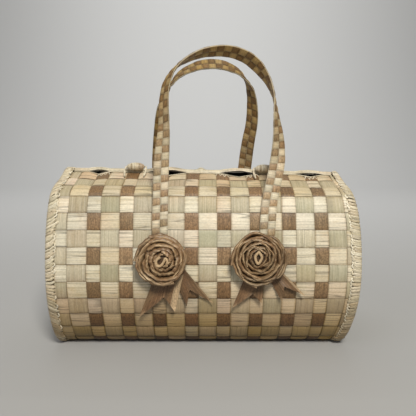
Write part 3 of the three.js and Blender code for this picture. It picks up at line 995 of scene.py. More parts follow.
@dataclass
class Rim:
    """A whipped rim: a core laid round the end of the barrel, wrapped close with leaf sewn into the wall."""

    barrel: Barrel
    end: End
    width: float = 8.0
    depth: float = 7.0
    # How far it stands out from the wall, and its top over the lip.
    proud: float = 1.0
    crest: float = 3.4
    # Share by which it gets thinner from a height up to its top.
    thin: PerEnd = PerEnd(0.15, 0.5)
    thin_from: float = 110.0
    pitch: float = 2.7
    strand_width: PerEnd = PerEnd(2.5, 2.85)
    strand_thickness: float = 1.4
    hole: float = -3.5
    # Slant of the wraps, which turns over about a height.
    slant: PerEnd = PerEnd(3.1, 1.0)
    turn_at: float = 60.0
    turn_over: float = 16.0
    # A wrap, from its hole in the wall over the core to the inside of the end.
    wrap_rows: tuple[StitchRow, ...] = (
        StitchRow(0.0, 1.2, -1.1, True), StitchRow(0.5, 2.8, -1.0, True),
        StitchRow(1.5, 3.4, -0.74, True, 1.0), StitchRow(-1.5, 3.45, -0.3, False, 0.6),
        StitchRow(0.8, 3.6, 0.1, False, 0.4), StitchRow(2.9, 2.85, 0.5, False, 0.4),
        StitchRow(4.0, 0.9, 0.85), StitchRow(4.0, -1.0, 1.1), StitchRow(2.7, -2.9, 1.3),
        StitchRow(0.6, -3.7, 1.4),
    )
    wrap_steps: int = 2
    # Some holes are further in, by this much and with this chance.
    deep_hole: float = 1.8
    deep_chance: float = 0.14
    # A wrap faces away from a point inside the core: shares of its place, and a step in.
    core_shares: Limits = (0.55, 0.45)
    core_step: float = 0.5
    # A wrap is narrow at its hole and full a little further on.
    hole_width: float = 0.75
    full_after: float = 1.6
    # The small loop between two wraps, where the leaf goes on from one hole to the next.
    loop_rows: tuple[StitchRow, ...] = (
        StitchRow(0.9, 1.9, -0.6, True), StitchRow(-0.1, 2.8, -0.35, True),
        StitchRow(-0.6, 3.05, 0.05, True), StitchRow(0.0, 3.1, 0.4, True), StitchRow(1.2, 3.3, 0.65, True),
    )
    loop_steps: int = 3
    loop_width: float = 1.2
    loop_thickness: float = 0.9
    # Share of the wraps that have such a loop.
    looped: PerEnd = PerEnd(0.45, 0.85)
    core_width: float = 3.2
    core_depth: float = 2.8
    core_samples: int = 160
    core_sides: int = 10
    # Painted shade: the core is tinted dark so that the gaps between the wraps look shaded.
    core_tint: Triple = (-0.35, 0.3, 0.0)
    # Painted shade with a warm painted reflection: change of tint from a height down to the base.
    low_shade: Triple = (-0.3, 0.2, -0.7)
    low_shade_height: float = 72.0
    # Samples round the line, how many are evened out together, and points left out at a lip.
    samples: int = 400
    even_over: int = 9
    lip_points: int = 8
    number_step: float = 2.9
    seed: int = 31

    def __post_init__(self) -> None:
        """Works out the core's closed line and starts the piece."""
        self.name = self.end.name.lower()
        self.draft = Draft(f"rim_whipped_{self.name}")
        self.rng = np.random.default_rng(self.seed + self.end.value)
        x = self.end.value * self.barrel.half
        inset = self.depth / 2 - self.proud
        line, _, normals = self.barrel.section_line(x)
        line = line - normals * inset
        line[:, 1] = np.maximum(line[:, 1], self.depth / 2)
        self.top = self.barrel.lip_height * self.barrel.scale(x) + self.crest - inset
        peak = [[0.0, self.top]]
        line = np.vstack([peak, line[self.lip_points : -self.lip_points], peak])
        run = run_of(line)
        self.around = run[-1]
        even = along_line(line, run, np.linspace(0, run[-1], self.samples, endpoint=False))
        kernel = np.ones(self.even_over) / self.even_over
        reach = self.even_over // 2
        padded = np.vstack([even[-reach:], even, even[:reach]])
        self.line = np.stack([np.convolve(column, kernel, "valid") for column in padded.T], axis=-1)
        self.line[:, 1] = np.maximum(self.line[:, 1], self.depth / 2)
        slope = np.roll(self.line, -1, 0) - np.roll(self.line, 1, 0)
        self.out = unit(beside(slope[:, 1], -slope[:, 0]))

    def place(self, around: Array, axial: Array, out: Array) -> Array:
        """Points about the core.

        Args:
            around: lengths round the rim from its top.
            axial: reaches along X, outwards from the core's middle.
            out: reaches off the core, outwards from the barrel.

        Returns:
            The points, none of them below the floor.
        """
        share = np.mod(around / self.around, 1) * len(self.line)
        i = share.astype(int) % len(self.line)
        after = (i + 1) % len(self.line)
        q = (share - np.floor(share))[..., None]
        centre = self.line[i] * (1 - q) + self.line[after] * q
        normal = self.out[i] * (1 - q) + self.out[after] * q
        y, z = np.moveaxis(centre + normal * np.asarray(out)[..., None], -1, 0)
        reach = np.maximum(centre[..., 1] - self.thin_from, 0) / (self.top - self.thin_from)
        full = 1 - self.thin.at(self.end) * reach**2
        inner = self.barrel.length / 2 - self.width - self.barrel.pull(self.end, centre[..., 1])
        x = self.end.value * (inner + (self.width / 2 + axial) * full)
        return beside(x, y, np.maximum(z, self.strand_thickness / 2))

    def lay(self, around: float) -> float:
        """Slant of the wraps, from -1 to 1: it turns over from the upper to the lower part of a side."""
        height = float(self.place(np.array(around), np.array(0.0), np.array(0.0))[2])
        return (1 if around < self.around / 2 else -1) * math.tanh((height - self.turn_at) / self.turn_over)

    def low_shaded(self, tint: list[float], line: Array) -> Array:
        """A stitch's tint at each of its points, with painted shade towards the base."""
        return np.array(tint) + np.clip(1 - line[:, None, 2:] / self.low_shade_height, 0, 1) * self.low_shade

    def course(self, rows: tuple[StitchRow, ...], steps: int, hole: float, swell: float = 0.0) -> Array:
        """Smooth course of a stitch: its reach along X, its reach off the core and its lean, by sample."""
        places = [[row.axial + hole * row.from_hole, row.out + swell * row.swell, row.lean] for row in rows]
        return smooth_line(np.array(places), steps)

    def wrap(self, around: float, number: int) -> None:
        """Adds one wrap.

        Args:
            around: its place round the rim.
            number: its number.
        """
        rng = self.rng
        hole = self.hole + rng.uniform(-0.6, 0.5)
        hole -= self.deep_hole if rng.random() < self.deep_chance else 0.0
        axial, out, lean = self.course(self.wrap_rows, self.wrap_steps, hole, rng.uniform(-0.3, 0.25)).T
        slant = self.slant.at(self.end) * self.lay(around) + rng.uniform(-0.35, 0.35)
        line = self.place(around + lean * slant, axial, out)
        shares = self.core_shares
        inner = self.place(around + lean * slant, axial * shares[0], out * shares[1] - self.core_step)
        tint = [rng.uniform(-0.06, 0.1), rng.uniform(-0.25, 0.2), max(0.0, rng.uniform(-0.4, 0.4))]
        width = self.strand_width.at(self.end) * rng.uniform(0.85, 1.1)
        width = width * np.interp(axial, [hole, hole + self.full_after], [self.hole_width, 1.0])
        tints = self.low_shaded(tint, line)
        thickness = self.strand_thickness
        self.draft.strand(line, line - inner, width, thickness, self.number_step * number, tints)

    def loop(self, around: float, number: int) -> None:
        """Adds one small loop.

        Args:
            around: its place round the rim.
            number: its number.
        """
        hole = self.hole + self.rng.uniform(-0.5, 0.3)
        axial, out, lean = self.course(self.loop_rows, self.loop_steps, hole).T
        line = self.place(around + lean * self.pitch, axial, out)
        inner = self.place(around + lean * self.pitch, axial, out - 1)
        # Painted highlight with wear: the loops are tinted pale on the bends of the stitches.
        tint = [self.rng.uniform(0.0, 0.12), self.rng.uniform(-0.15, 0.15), self.rng.uniform(0.3, 0.8)]
        tints = self.low_shaded(tint, line)
        grain = self.number_step * number + 1.3
        self.draft.strand(line, line - inner, self.loop_width, self.loop_thickness, grain, tints)

    def build(self) -> None:
        """Builds the core, its wraps and the small loops as one piece."""
        around = np.linspace(0, self.around, self.core_samples, endpoint=False)[:, None]
        angle = ROUND * np.arange(self.core_sides)[None, :] / self.core_sides
        around, angle = np.broadcast_arrays(around, angle)
        core = self.place(around, self.core_width * np.cos(angle), self.core_depth * np.sin(angle))
        # The core's dark tint is painted shade in the gaps between the wraps.
        self.draft.loft(core, beside(around, angle, 0.0), np.array(self.core_tint), ring=True)
        count = round(self.around / self.pitch)
        for k in range(count):
            self.wrap((k + self.rng.uniform(-0.1, 0.1)) * self.around / count, k)
        for k in range(count):
            if self.rng.random() < self.looped.at(self.end):
                self.loop((k + 0.5) * self.around / count, k)
        self.draft.build(WHIPPED_LEAF, "bound_leaf", f"rim_{self.name}")


@dataclass
class EndDisc:
    """A closed end of the barrel inside its rim, plaited plainly of cream leaf and swelling out a little."""

    rim: Rim
    # How far the strips run in under the rim's core from its middle line.
    tuck: float = 1.2
    middle: float = 126.0
    mid_height: float = 80.0
    dome: float = 2.0
    pitch: float = 13.0
    thickness: float = 0.5
    weave: float = 0.42
    crown: float = 0.14
    clearance: float = 0.22
    # Width below which a strip is left out, and how far one stays inside the outline.
    least_width: float = 2.0
    margin: float = 0.05
    outline_samples: int = 240
    strip_samples: int = 90
    across_samples: int = 5
    tint: StripTint = StripTint((-0.08, 0.05), Wobble(50, 0.06), (-0.3, 0.2), Wobble(60, 0.25))
    # A strip is darker along its edges.
    edge_shade: float = 0.1
    edge_power: int = 6
    # Steps of the grain's number from strip to strip and from one lay to the other.
    number_step: float = 3.7
    number_lay: float = 50.0
    seed: int = 21

    def __post_init__(self) -> None:
        """Works out the disc's outline, and its reach and X by the angle round the disc's middle."""
        self.end = self.rim.end
        self.draft = Draft(f"end_plait_{self.rim.name}")
        self.rng = np.random.default_rng(self.seed + self.end.value)
        around = np.linspace(0, self.rim.around, self.outline_samples, endpoint=False)
        rim = self.rim.place(around, 0 * around, 0 * around - self.tuck)
        self.edge = np.vstack([rim[:, 1:], rim[:1, 1:]])
        spokes = rim[:, 1:] - [0, self.mid_height]
        angle = np.arctan2(spokes[:, 1], spokes[:, 0])
        order = np.argsort(angle)
        self.angles = angle[order]
        self.reach = np.linalg.norm(spokes, axis=1)[order]
        self.edge_x = np.abs(rim[order, 0])

    def chord(self, axis: int, value: float) -> Limits:
        """Where a line across the disc meets its outline.

        Args:
            axis: the axis on which the line has one value, 0 for Y and 1 for Z.
            value: that value.

        Returns:
            The least and the largest value on the other axis.
        """
        a, b = self.edge[:-1], self.edge[1:]
        crossing = (a[:, axis] - value) * (b[:, axis] - value) <= 0
        a, b = a[crossing], b[crossing]
        span = b[:, axis] - a[:, axis]
        span = np.where(np.abs(span) < NEARLY_ZERO, 1, span)
        met = a[:, 1 - axis] + (value - a[:, axis]) / span * (b[:, 1 - axis] - a[:, 1 - axis])
        return float(met.min()), float(met.max())

    def place(self, y: Array, z: Array, lift: Array) -> Array:
        """Points of the domed disc.

        Args:
            y: places across the disc.
            z: heights above the floor.
            lift: heights out from the disc.

        Returns:
            The points.
        """
        rise = z - self.mid_height
        angle = np.arctan2(rise, y)
        reach = np.interp(angle, self.angles, self.reach, period=ROUND)
        edge_x = np.interp(angle, self.angles, self.edge_x, period=ROUND)
        share = np.minimum(np.hypot(y, rise) / reach, 1.0) ** 2
        x = (self.middle + self.dome) * (1 - share) + edge_x * share
        return beside(self.end.value * (x + lift), y, z)

    def strip(self, lay: Lay, number: int, places: Array) -> None:
        """Adds one strip of the disc.

        Args:
            lay: how it lies.
            number: its number.
            places: places of its samples across.
        """
        w = np.linspace(-1, 1, self.across_samples)
        ends = np.array([self.chord(lay.value, value) for value in places])
        share = np.linspace(0, 1, self.strip_samples)[:, None]
        along = ends[:, 0] + (ends[:, 1] - ends[:, 0]) * share
        level = places + 0 * along
        phase = (along - self.edge[:, 1 - lay.value].min()) / self.pitch
        turn = np.where((np.floor(phase) + number + lay.value) % 2 == 0, 1, -1)
        lift = self.weave * turn * strip_wave(phase - np.floor(phase)) + self.crown * (1 - w**2)
        y, z = (level, along) if lay is Lay.UPRIGHT else (along, level)
        top = self.place(y, z, lift + self.thickness / 2)
        under = self.place(y, z, lift - self.thickness / 2)
        grain = beside(along, level, self.number_step * number + self.number_lay * lay.value)
        tone, hue = self.tint.draw(along, self.rng)
        self.draft.sheet(top, under, grain, beside(tone - self.edge_shade * w**self.edge_power, hue, 0.0))

    def build(self) -> None:
        """Builds the disc's two sets of strips as one piece."""
        w = np.linspace(-1, 1, self.across_samples)
        for lay in Lay:
            low = self.edge[:, lay.value].min()
            high = self.edge[:, lay.value].max()
            for k in range(math.ceil((high - low) / self.pitch)):
                near = low + k * self.pitch + self.clearance
                far = min(low + (k + 1) * self.pitch - self.clearance, high)
                if far - near >= self.least_width:
                    places = (near + far) / 2 + w * (far - near) / 2
                    self.strip(lay, k, np.clip(places, low + self.margin, high - self.margin))
        self.draft.build(CREAM_PLAIT, "plaited_leaf", f"end_{self.rim.name}")


class LegRow(NamedTuple):
    """A place on a leg of a zigzag: its share of the way up to the lip, and its height off the wall."""

    share: float
    lift: float


@dataclass
class LipEdge:
    """A bound edge of the mouth: a leaf laid along it, with zigzag stitches over some of the brown cells."""

    barrel: Barrel
    side: Side
    width: float
    thickness: float
    rise: float
    tone: float
    stitched: tuple[float, ...] = ()
    # The way the leaf faces, and its tint along the lip.
    facing: Triple = (0.0, -0.75, 0.65)
    tone_wobbles: tuple[Wobble, Wobble] = (Wobble(24, 0.10), Wobble(4.3, 0.08))
    hue_wobble: Wobble = Wobble(80, 0.3)
    wear: float = 0.1
    width_wobble: Wobble = Wobble(25, 0.1)
    end_gap: float = 0.5
    samples: int = 300
    # A zigzag's legs: their pitch, half the length of a zigzag, and their course.
    pitch: float = 1.9
    stitch_half: float = 5.0
    leg_rows: tuple[LegRow, ...] = (
        LegRow(0.0, -0.6), LegRow(0.15, 0.1), LegRow(0.5, 0.25), LegRow(0.85, 0.3), LegRow(1.0, 0.3),
    )
    leg_reach: Limits = (3.6, 4.6)
    leg_width: float = 0.95
    leg_thickness: float = 0.5
    leg_slope: float = 0.3
    number_step: float = 4.1
    # A small tuft stands up on the back lip, next to the middle.
    tuft: float = -2.6
    tuft_rise: float = 1.9
    tuft_half: float = 2.6
    tuft_widening: float = 1.3
    seed: int = 41

    def __post_init__(self) -> None:
        """Starts the piece."""
        self.name = self.side.name.lower()
        self.draft = Draft(f"lip_bound_{self.name}")
        self.rng = np.random.default_rng(self.seed + self.side.value)

    def build(self) -> None:
        """Builds the edge leaf and its stitches as one piece."""
        reach = self.barrel.half - self.end_gap
        x = np.linspace(-reach, reach, self.samples)
        path = self.barrel.place(x, self.barrel.lip(x, self.side), 0 * x)
        # The tuft is the leaf bent up on edge, so it grows wider and still covers the wall's edge.
        tuft = self.tuft_rise * np.exp(-(((x - self.tuft) / self.tuft_half) ** 2))
        tuft = tuft if self.side is Side.BACK else 0 * x
        path[:, 2] += self.rise + tuft / 2
        tone = self.tone + sum(wander(x, wobble, self.rng) for wobble in self.tone_wobbles)
        tint = beside(tone, wander(x, self.hue_wobble, self.rng), self.wear)[:, None]
        width = self.width * (1 + wander(x, self.width_wobble, self.rng)) + self.tuft_widening * tuft
        self.draft.strand(path, np.array(self.facing) + 0 * path, width, self.thickness, 1.0, tint)
        for middle in self.stitched:
            places = np.arange(middle - self.stitch_half, middle + self.stitch_half, self.pitch)
            for k, place in enumerate(places):
                self.leg(place + self.rng.uniform(-0.2, 0.2), k)
        self.draft.build(WHIPPED_LEAF, "bound_leaf", f"lip_{self.name}")

    def leg(self, x: float, number: int) -> None:
        """Adds one leg of a zigzag, from the outside of the wall up to the edge.

        Args:
            x: its place along the lip.
            number: its number, which also says the way it leans.
        """
        share, lift = np.array(self.leg_rows).T
        below = self.rng.uniform(*self.leg_reach) * (1 - share)
        lean = (1.0 if number % 2 else -1.0) * self.pitch / 2
        lip = self.barrel.lip(np.array(x), self.side)
        path = self.barrel.place(x + lean * (1 - 2 * share), lip - self.side.value * below, lift)
        face = np.array([0.0, self.side.value * self.leg_slope, 1.0]) + 0 * path
        limits = ((-0.1, 0.05), (0.0, 0.3), (0.0, 0.4))
        tint = np.array([self.rng.uniform(*limit) for limit in limits])
        self.draft.strand(path, face, self.leg_width, self.leg_thickness, self.number_step * number, tint)


class ArchRow(NamedTuple):
    """A place on a strap's free arch, with the turn of its face in degrees."""

    x: float
    y: float
    z: float
    turn: float


class Foot(NamedTuple):
    """The flat end of a strap on the wall: its place, how far it drifts on its way up, and its turn."""

    x: float
    drift: float
    turn: float


@dataclass(frozen=True)
class CheckSpread:
    """Limits of what differs from check to check of a strap."""

    across: Limits = (-0.1, 0.1)
    along: Limits = (-0.15, 0.15)
    tilt: Limits = (-0.1, 0.1)
    rise: Limits = (-0.08, 0.05)
    tone: Limits = (-0.1, 0.1)
    hue: Limits = (-0.4, 0.4)
    wear: Limits = (0.0, 0.12)


@dataclass
class Strap:
    """A plaited strap handle: two files of brown and cream checks on each face of a thin dark core."""

    barrel: Barrel
    name: str
    side: Side
    left: Foot
    right: Foot
    arch: tuple[ArchRow, ...]
    # Tone of the whole strap, lowered on the back one as painted shade.
    tone: float
    seed: int
    # Painted shade with handling stain: from a height up the leaf is darker and browner, more and more over
    # the next stretch.
    shade_and_handling_from: float = 145.0
    shade_and_handling_over: float = 85.0
    shade_and_handling_tint: Triple = (-0.06, 0.2, -0.85)
    foot_heights: tuple[float, ...] = (77, 85, 93, 101, 109, 117, 125)
    width: float = 13.0
    thickness: float = 2.2
    off_wall: float = 0.5
    line_steps: int = 14
    core: float = 1.0
    core_bevel: float = 0.5
    core_samples: int = 260
    core_tint: Triple = (-0.25, -0.5, 0.0)
    # Length of a check, and how far a row of them climbs for each mm across.
    check: float = 6.15
    slope: float = 0.16
    check_samples: int = 5
    # How much narrower a check is than its file, and how far it runs on under the next one.
    check_gap: float = 0.12
    check_overlap: float = 0.1
    # Heights over the core's face of a check's edges and underside, and of its middle over its edges.
    check_edge: float = 0.12
    check_rise: float = 0.62
    check_under: float = -0.25
    # How far a check falls off along the sides of its leaf; it goes right down at the leaf's ends.
    side_fall: float = 0.75
    fall_power: int = 4
    # A check is darker along its edges.
    edge_shade: float = 0.3
    edge_power: int = 8
    spread: CheckSpread = CheckSpread()

    def __post_init__(self) -> None:
        """Works out the strap's line with its face and its width at close places, and starts the pieces."""
        self.node = f"handle_{self.name}"
        # The cream checks come first and then the brown ones.
        self.drafts = [Draft(f"strap_{colour}_{self.name}") for colour in ("cream", "brown")]
        self.rng = np.random.default_rng(self.seed)
        heights = np.array(self.foot_heights)
        share = ((heights - heights[0]) / (heights[-1] - heights[0])) ** 2
        off = self.off_wall + self.thickness / 2
        feet = [
            self.barrel.on_wall(foot.x + foot.drift * share, heights, self.side, off)
            for foot in (self.left, self.right)
        ]
        arch = np.array(self.arch)
        line = smooth_line(np.vstack([feet[0], arch[:, :3], feet[1][::-1]]), self.line_steps)
        turns = [self.left.turn] * len(heights) + [*arch[:, 3]] + [self.right.turn] * len(heights)
        places = np.arange(len(line)) / self.line_steps
        turn = np.radians(np.interp(places, np.arange(len(turns)), turns))[:, None]
        run = unit(np.gradient(line, axis=0))
        level = unit(np.cross([0.0, 1.0, 0.0], run))
        across = level * np.cos(turn) + np.cross(run, level) * np.sin(turn)
        self.run = run_of(line)
        self.rows = np.hstack([line, across, np.cross(across, run)])

    def place(self, along: Array, across: Array, out: Array) -> Array:
        """Points of the strap.

        Args:
            along: lengths along it from the left foot.
            across: lengths across its face from the middle.
            out: heights off its middle, out of the outer face.

        Returns:
            The points.
        """
        along, across, out = np.broadcast_arrays(along, across, out)
        rows = along_line(self.rows, self.run, along)
        return rows[..., :3] + unit(rows[..., 3:6]) * across[..., None] + unit(rows[..., 6:]) * out[..., None]

    def cell(self, row: int, file: int, face: Face) -> None:
        """Adds one check of the plait as a low closed cushion.

        Args:
            row: its number along the strap.
            file: 0 or 1, its number across the strap.
            face: the face it is on.
        """
        rng = self.rng
        spread = self.spread
        # A brown check's leaf runs along the strap and a cream one's across.
        brown = (row + file) % 2 == 0
        p = np.linspace(-1, 1, self.check_samples)[:, None]
        q = np.linspace(-1, 1, self.check_samples)[None, :]
        half = self.width / 4
        across = (file - 0.5) * 2 * half + q * (half - self.check_gap) + rng.uniform(*spread.across) + 0 * p
        along = (row + 0.5) * self.check + p * (self.check / 2 + self.check_overlap) + self.slope * across
        along = np.clip(along + rng.uniform(*spread.along), 0, self.run[-1])
        ends, sides = (p, q) if brown else (q, p)
        swell = (1 - ends**self.fall_power) * (1 - self.side_fall * sides**self.fall_power)
        tilt = rng.uniform(*spread.tilt) * p + rng.uniform(*spread.tilt) * q
        rise = (self.check_rise + rng.uniform(*spread.rise) + tilt) * swell
        top = self.place(along, across, face.value * (self.core / 2 + self.check_edge + rise))
        under = self.place(along, across, face.value * (self.core / 2 + self.check_under))
        lines = (along, across) if brown else (across, along)
        grain = beside(*lines, 1.7 * row + 11.3 * file + 101 * face.value)
        middle = self.check_samples // 2
        height = float(self.place(along[middle, middle], across[middle, middle], 0.0)[2])
        # Painted shade with handling stain from a height up.
        shade_and_handling = np.clip((height - self.shade_and_handling_from) / self.shade_and_handling_over, 0, 1)
        shade = self.edge_shade * np.maximum(np.abs(p), np.abs(q)) ** self.edge_power
        tone = self.tone + rng.uniform(*spread.tone) - shade
        tint = beside(tone, rng.uniform(*spread.hue), rng.uniform(*spread.wear))
        self.drafts[brown].sheet(top, under, grain, tint + shade_and_handling * np.array(self.shade_and_handling_tint))

    def build_core(self) -> None:
        """Builds the thin band between the two faces."""
        draft = Draft(f"strap_core_{self.name}")
        along = np.linspace(0, self.run[-1], self.core_samples)[:, None]
        w = self.width / 2
        d = self.core / 2
        flat = w - self.core_bevel
        edge = [[flat, -d], [w, -d / 2], [w, d / 2], [flat, d]]
        outline = np.array([[-flat, -d], *edge, [-flat, d], [-w, d / 2], [-w, -d / 2]])
        across, out = outline.T[:, None, :]
        draft.loft(self.place(along, across, out), beside(along, across, 0.0), np.array(self.core_tint))
        draft.build(STRAP_CREAM, "strap_leaf", self.node)

    def build(self) -> None:
        self.build_core()
        for row in range(math.ceil(self.run[-1] / self.check)):
            for file in (0, 1):
                for face in Face:
                    self.cell(row, file, face)
        for draft, finish in zip(self.drafts, (STRAP_CREAM, STRAP_BROWN)):
            draft.build(finish, "strap_leaf", self.node)


class CoilRow(NamedTuple):
    """Size of a rose's coil at a turn: its radius, how far it leans out in degrees, and its height."""

    turn: float
    radius: float
    lean: float
    height: float


@dataclass(frozen=True)
class PetalSpread:
    """Limits of what differs from petal to petal of a rose."""

    span: Limits = (-0.25, 0.3)
    tuck: Limits = (1.0, 1.6)
    radius: Limits = (-0.6, 0.6)
    height: Limits = (-1.4, 0.6)
    lean: Limits = (-7.0, 8.0)
    width: Limits = (-0.25, 0.3)
    tone: Limits = (-0.2, 0.16)
    # Strength of the crest's painted highlight and wear.
    wear: Limits = (0.55, 1.2)
    hue: Limits = (-0.4, 0.35)


@dataclass
class Rose:
    """A rose of folded leaf wound into a spiral, one rolled petal for each fold, round a small bud."""

    barrel: Barrel
    name: str
    x: float
    # Degrees at which the spiral starts.
    start: float
    coil: tuple[CoilRow, ...]
    # Turns from petal to petal, and how unevenly the petals lie and how crumpled they are.
    petal_turn: float
    uneven: float
    crumple: float
    # Width of a petal's fold, and how much wider it is at the top of the rose.
    roll_width: float
    wide_top: float
    # How far a petal's middle lies in from a round, as a share of the radius.
    flat: Limits
    # Place of the rose's eye, across and up from its middle, and the line of the bud in it.
    eye: Limits
    bud: tuple[Limits, ...]
    bud_closed: bool
    tone: float
    seed: int
    height_on_wall: float = 81.3
    base_off: float = 3.0
    # Section of the backing from its underside's middle: radius and height.
    backing: tuple[Limits, ...] = (
        (0.6, 0.05), (14.0, 0.05), (14.8, 2.6), (12.0, 5.4), (7.5, 6.9), (3.4, 7.1), (0.6, 7.1),
    )
    backing_sides: int = 24
    # Painted shade: the backing is tinted dark so that the gaps between the petals look shaded.
    backing_shade_tint: Triple = (-0.6, 0.2, 0.0)
    # Section of a petal, folded over outwards at its crest: offset from its middle, share of its height.
    roll: tuple[Limits, ...] = (
        (-0.25, 0.0), (-0.3, 0.5), (-0.42, 0.86), (-0.36, 0.96), (-0.16, 1.0), (0.12, 0.985), (0.6, 0.945),
        (1.1, 0.89), (1.38, 0.83), (1.3, 0.77), (0.95, 0.73), (0.6, 0.66), (0.35, 0.45), (0.25, 0.0),
    )
    spread: PetalSpread = PetalSpread()
    petal_samples: int = 33
    # Length of a petal in steps from petal to petal, and half of it in mm for its crumples.
    overlap: float = 1.5
    petal_half: float = 10.0
    first_turn: float = 0.1
    # Height, lean and width of a petal, as shares, where it is tucked in and where it is out.
    height_out: Limits = (0.72, 1.0)
    lean_out: Limits = (0.75, 1.05)
    width_out: Limits = (0.55, 1.0)
    # Degrees by which a petal's end leans out more, and how far it stands out; the last are tucked in.
    end_lean: float = 3.0
    end_out: float = 0.25
    last_out: float = -2.6
    last_petals: float = 1.4
    # Waves of a petal's crumples in mm: of its radius, its crest and its small crinkles.
    radius_wave: float = 8.0
    crest_wave: float = 6.0
    crinkle_wave: float = 3.1
    least_rise: float = 0.05
    least_reach: float = 0.15
    # Painted shade: how much darker a petal is down in the coil and where it is tucked in.
    depth_shade: float = 0.76
    tuck_shade: float = 0.4
    bud_sink: float = 0.8
    bud_width: float = 2.2
    bud_steps: int = 8

    def __post_init__(self) -> None:
        """Works out the rose's own axes on the wall and starts the piece."""
        self.draft = Draft(f"rose_{self.name}")
        self.rng = np.random.default_rng(self.seed)
        arc = self.barrel.arc_at(self.x, self.height_on_wall, Side.FRONT)
        foot, self.origin = self.barrel.place(self.x, arc, np.array([0.0, self.base_off]))
        axis = unit(self.origin - foot)
        right = np.array([1.0, 0.0, 0.0])
        self.axes = np.stack([right, np.cross(axis, right), axis])
        self.last_turn = self.coil[-1].turn

    def at(self, turn: Array, column: str) -> Array:
        """A column of the coil's table at a turn."""
        return np.interp(turn, [row.turn for row in self.coil], [getattr(row, column) for row in self.coil])

    def place(self, across: Array, up: Array, rise: Array) -> Array:
        """Points of the rose from the lengths across, up and off its base."""
        return self.origin + beside(across, up, rise) @ self.axes

    def petal(self, turn: float, number: int) -> None:
        """Adds one petal, tucked in at its start and lying over the next at its end.

        Args:
            turn: the turn of the spiral at its middle.
            number: its number.
        """
        rng = self.rng
        spread = self.spread
        v = np.linspace(-1, 1, self.petal_samples)[:, None]
        run = self.petal_half * v
        offset, share = np.array(self.roll).T[:, None, :]
        span = self.petal_turn * (self.overlap + rng.uniform(*spread.span) * self.uneven)
        turns = np.maximum(turn + v * span / 2, self.first_turn)
        angle = ROUND * turns + math.radians(self.start)
        out = strip_wave(np.clip((v + 1) / 1.6, 0, 0.5))
        flare = np.maximum(v, 0) ** 2
        # The part that shows is nearly straight, so the petals meet in corners; the outer ones are rounder.
        flat = rng.uniform(*self.flat) * (1 - 0.6 * turn / self.last_turn)
        bowed = np.minimum(np.abs(v - 0.3) / 0.7, 1) ** 2 - 0.4
        is_last = turn >= self.last_turn - self.last_petals * self.petal_turn
        radius = self.at(turns, "radius") * (1 + flat * bowed) - rng.uniform(*spread.tuck) * (1 - out)
        radius = radius + (self.last_out if is_last else self.end_out) * flare
        radius = radius + rng.uniform(*spread.radius) * self.uneven
        radius = radius + wander(run, Wobble(self.radius_wave, 0.8 * self.crumple), rng)
        height = self.at(turns, "height") * blend(self.height_out, out)
        height = height + rng.uniform(*spread.height) * (0.35 + self.uneven)
        lean = self.at(turns, "lean") + rng.uniform(*spread.lean) * self.uneven + self.end_lean * flare
        lean = np.radians(lean) * blend(self.lean_out, out)
        width = self.roll_width * (1 + self.wide_top * np.clip(np.sin(angle), 0, 1))
        width = width * blend(self.width_out, out) * (1 + rng.uniform(*spread.width) * self.uneven)
        crinkle = wander(run, Wobble(self.crinkle_wave, self.crumple), rng)
        crest = wander(run, Wobble(self.crest_wave, self.crumple), rng) + 0.4 * crinkle
        rise = np.maximum(share * height + crest * share**3, self.least_rise)
        reach = radius + 0.35 * crinkle + offset * width + np.tan(lean) * height * share**1.5
        reach = np.maximum(reach, self.least_reach)
        # The coil's middle moves over to the eye on its way in.
        shift = np.clip(1 - turns / self.last_turn, 0, 1)
        across = reach * np.cos(angle) + self.eye[0] * shift
        up = reach * np.sin(angle) + self.eye[1] * shift
        along = v * span * math.pi * self.at(turns, "radius")
        # Painted highlight with wear: the crest is tinted pale in patches, and the top of the petal a little.
        crest_highlight = np.exp(-(((offset + 0.1) / 0.34) ** 2)) * (share > 0.85)
        patch = np.clip(0.45 + wander(1.4 * run, Wobble(17, 0.6), rng), 0, 1)
        # Painted shade and highlight follow the crinkles.
        tone = self.tone + rng.uniform(*spread.tone) + 0.3 * crinkle
        tone = tone - self.depth_shade * (1 - share) ** 0.8 - self.tuck_shade * (1 - out)
        wear = (0.08 * (share > 0.8) + crest_highlight * patch * rng.uniform(*spread.wear)) * out
        tint = beside(tone, rng.uniform(*spread.hue), wear)
        self.draft.loft(self.place(across, up, rise), beside(along, 2 * offset + rise, 6.1 * number), tint)

    def build_bud(self) -> None:
        """Adds the folded end of the leaf in the rose's eye."""
        points = np.array(self.bud + self.bud[:1] if self.bud_closed else self.bud)
        line = smooth_line(points, self.bud_steps)[: -1 if self.bud_closed else None]
        across, up = (line + self.eye).T
        path = self.place(across, up, self.coil[0].height - self.bud_sink)
        face = self.axes[2] + 0 * path
        tint = np.array([0.05, self.rng.uniform(-0.3, 0.1), 0.65])
        self.draft.strand(path, face, self.bud_width, self.bud_width, 3.3, tint, ring=self.bud_closed)

    def build(self) -> None:
        """Builds the petals on a low cushion of backing leaf."""
        angle = np.linspace(0, ROUND, self.backing_sides, endpoint=False)[None, :]
        radius, height = np.array(self.backing).T[..., None]
        backing = self.place(radius * np.cos(angle), radius * np.sin(angle), height)
        # The backing's dark tint is painted shade.
        self.draft.loft(backing, backing, np.array(self.backing_shade_tint))
        self.build_bud()
        turn = self.coil[0].turn
        number = 0
        while turn < self.last_turn:
            self.petal(turn, number)
            turn += self.petal_turn * (1 + self.rng.uniform(-0.15, 0.15) * self.uneven)
            number += 1
        self.draft.build(ROSE_LEAF, "rose_leaf", f"rosette_{self.name}", crease=60.0)


class Spot(NamedTuple):
    """A place on the wall from a rose's middle."""

    dx: float
    dz: float


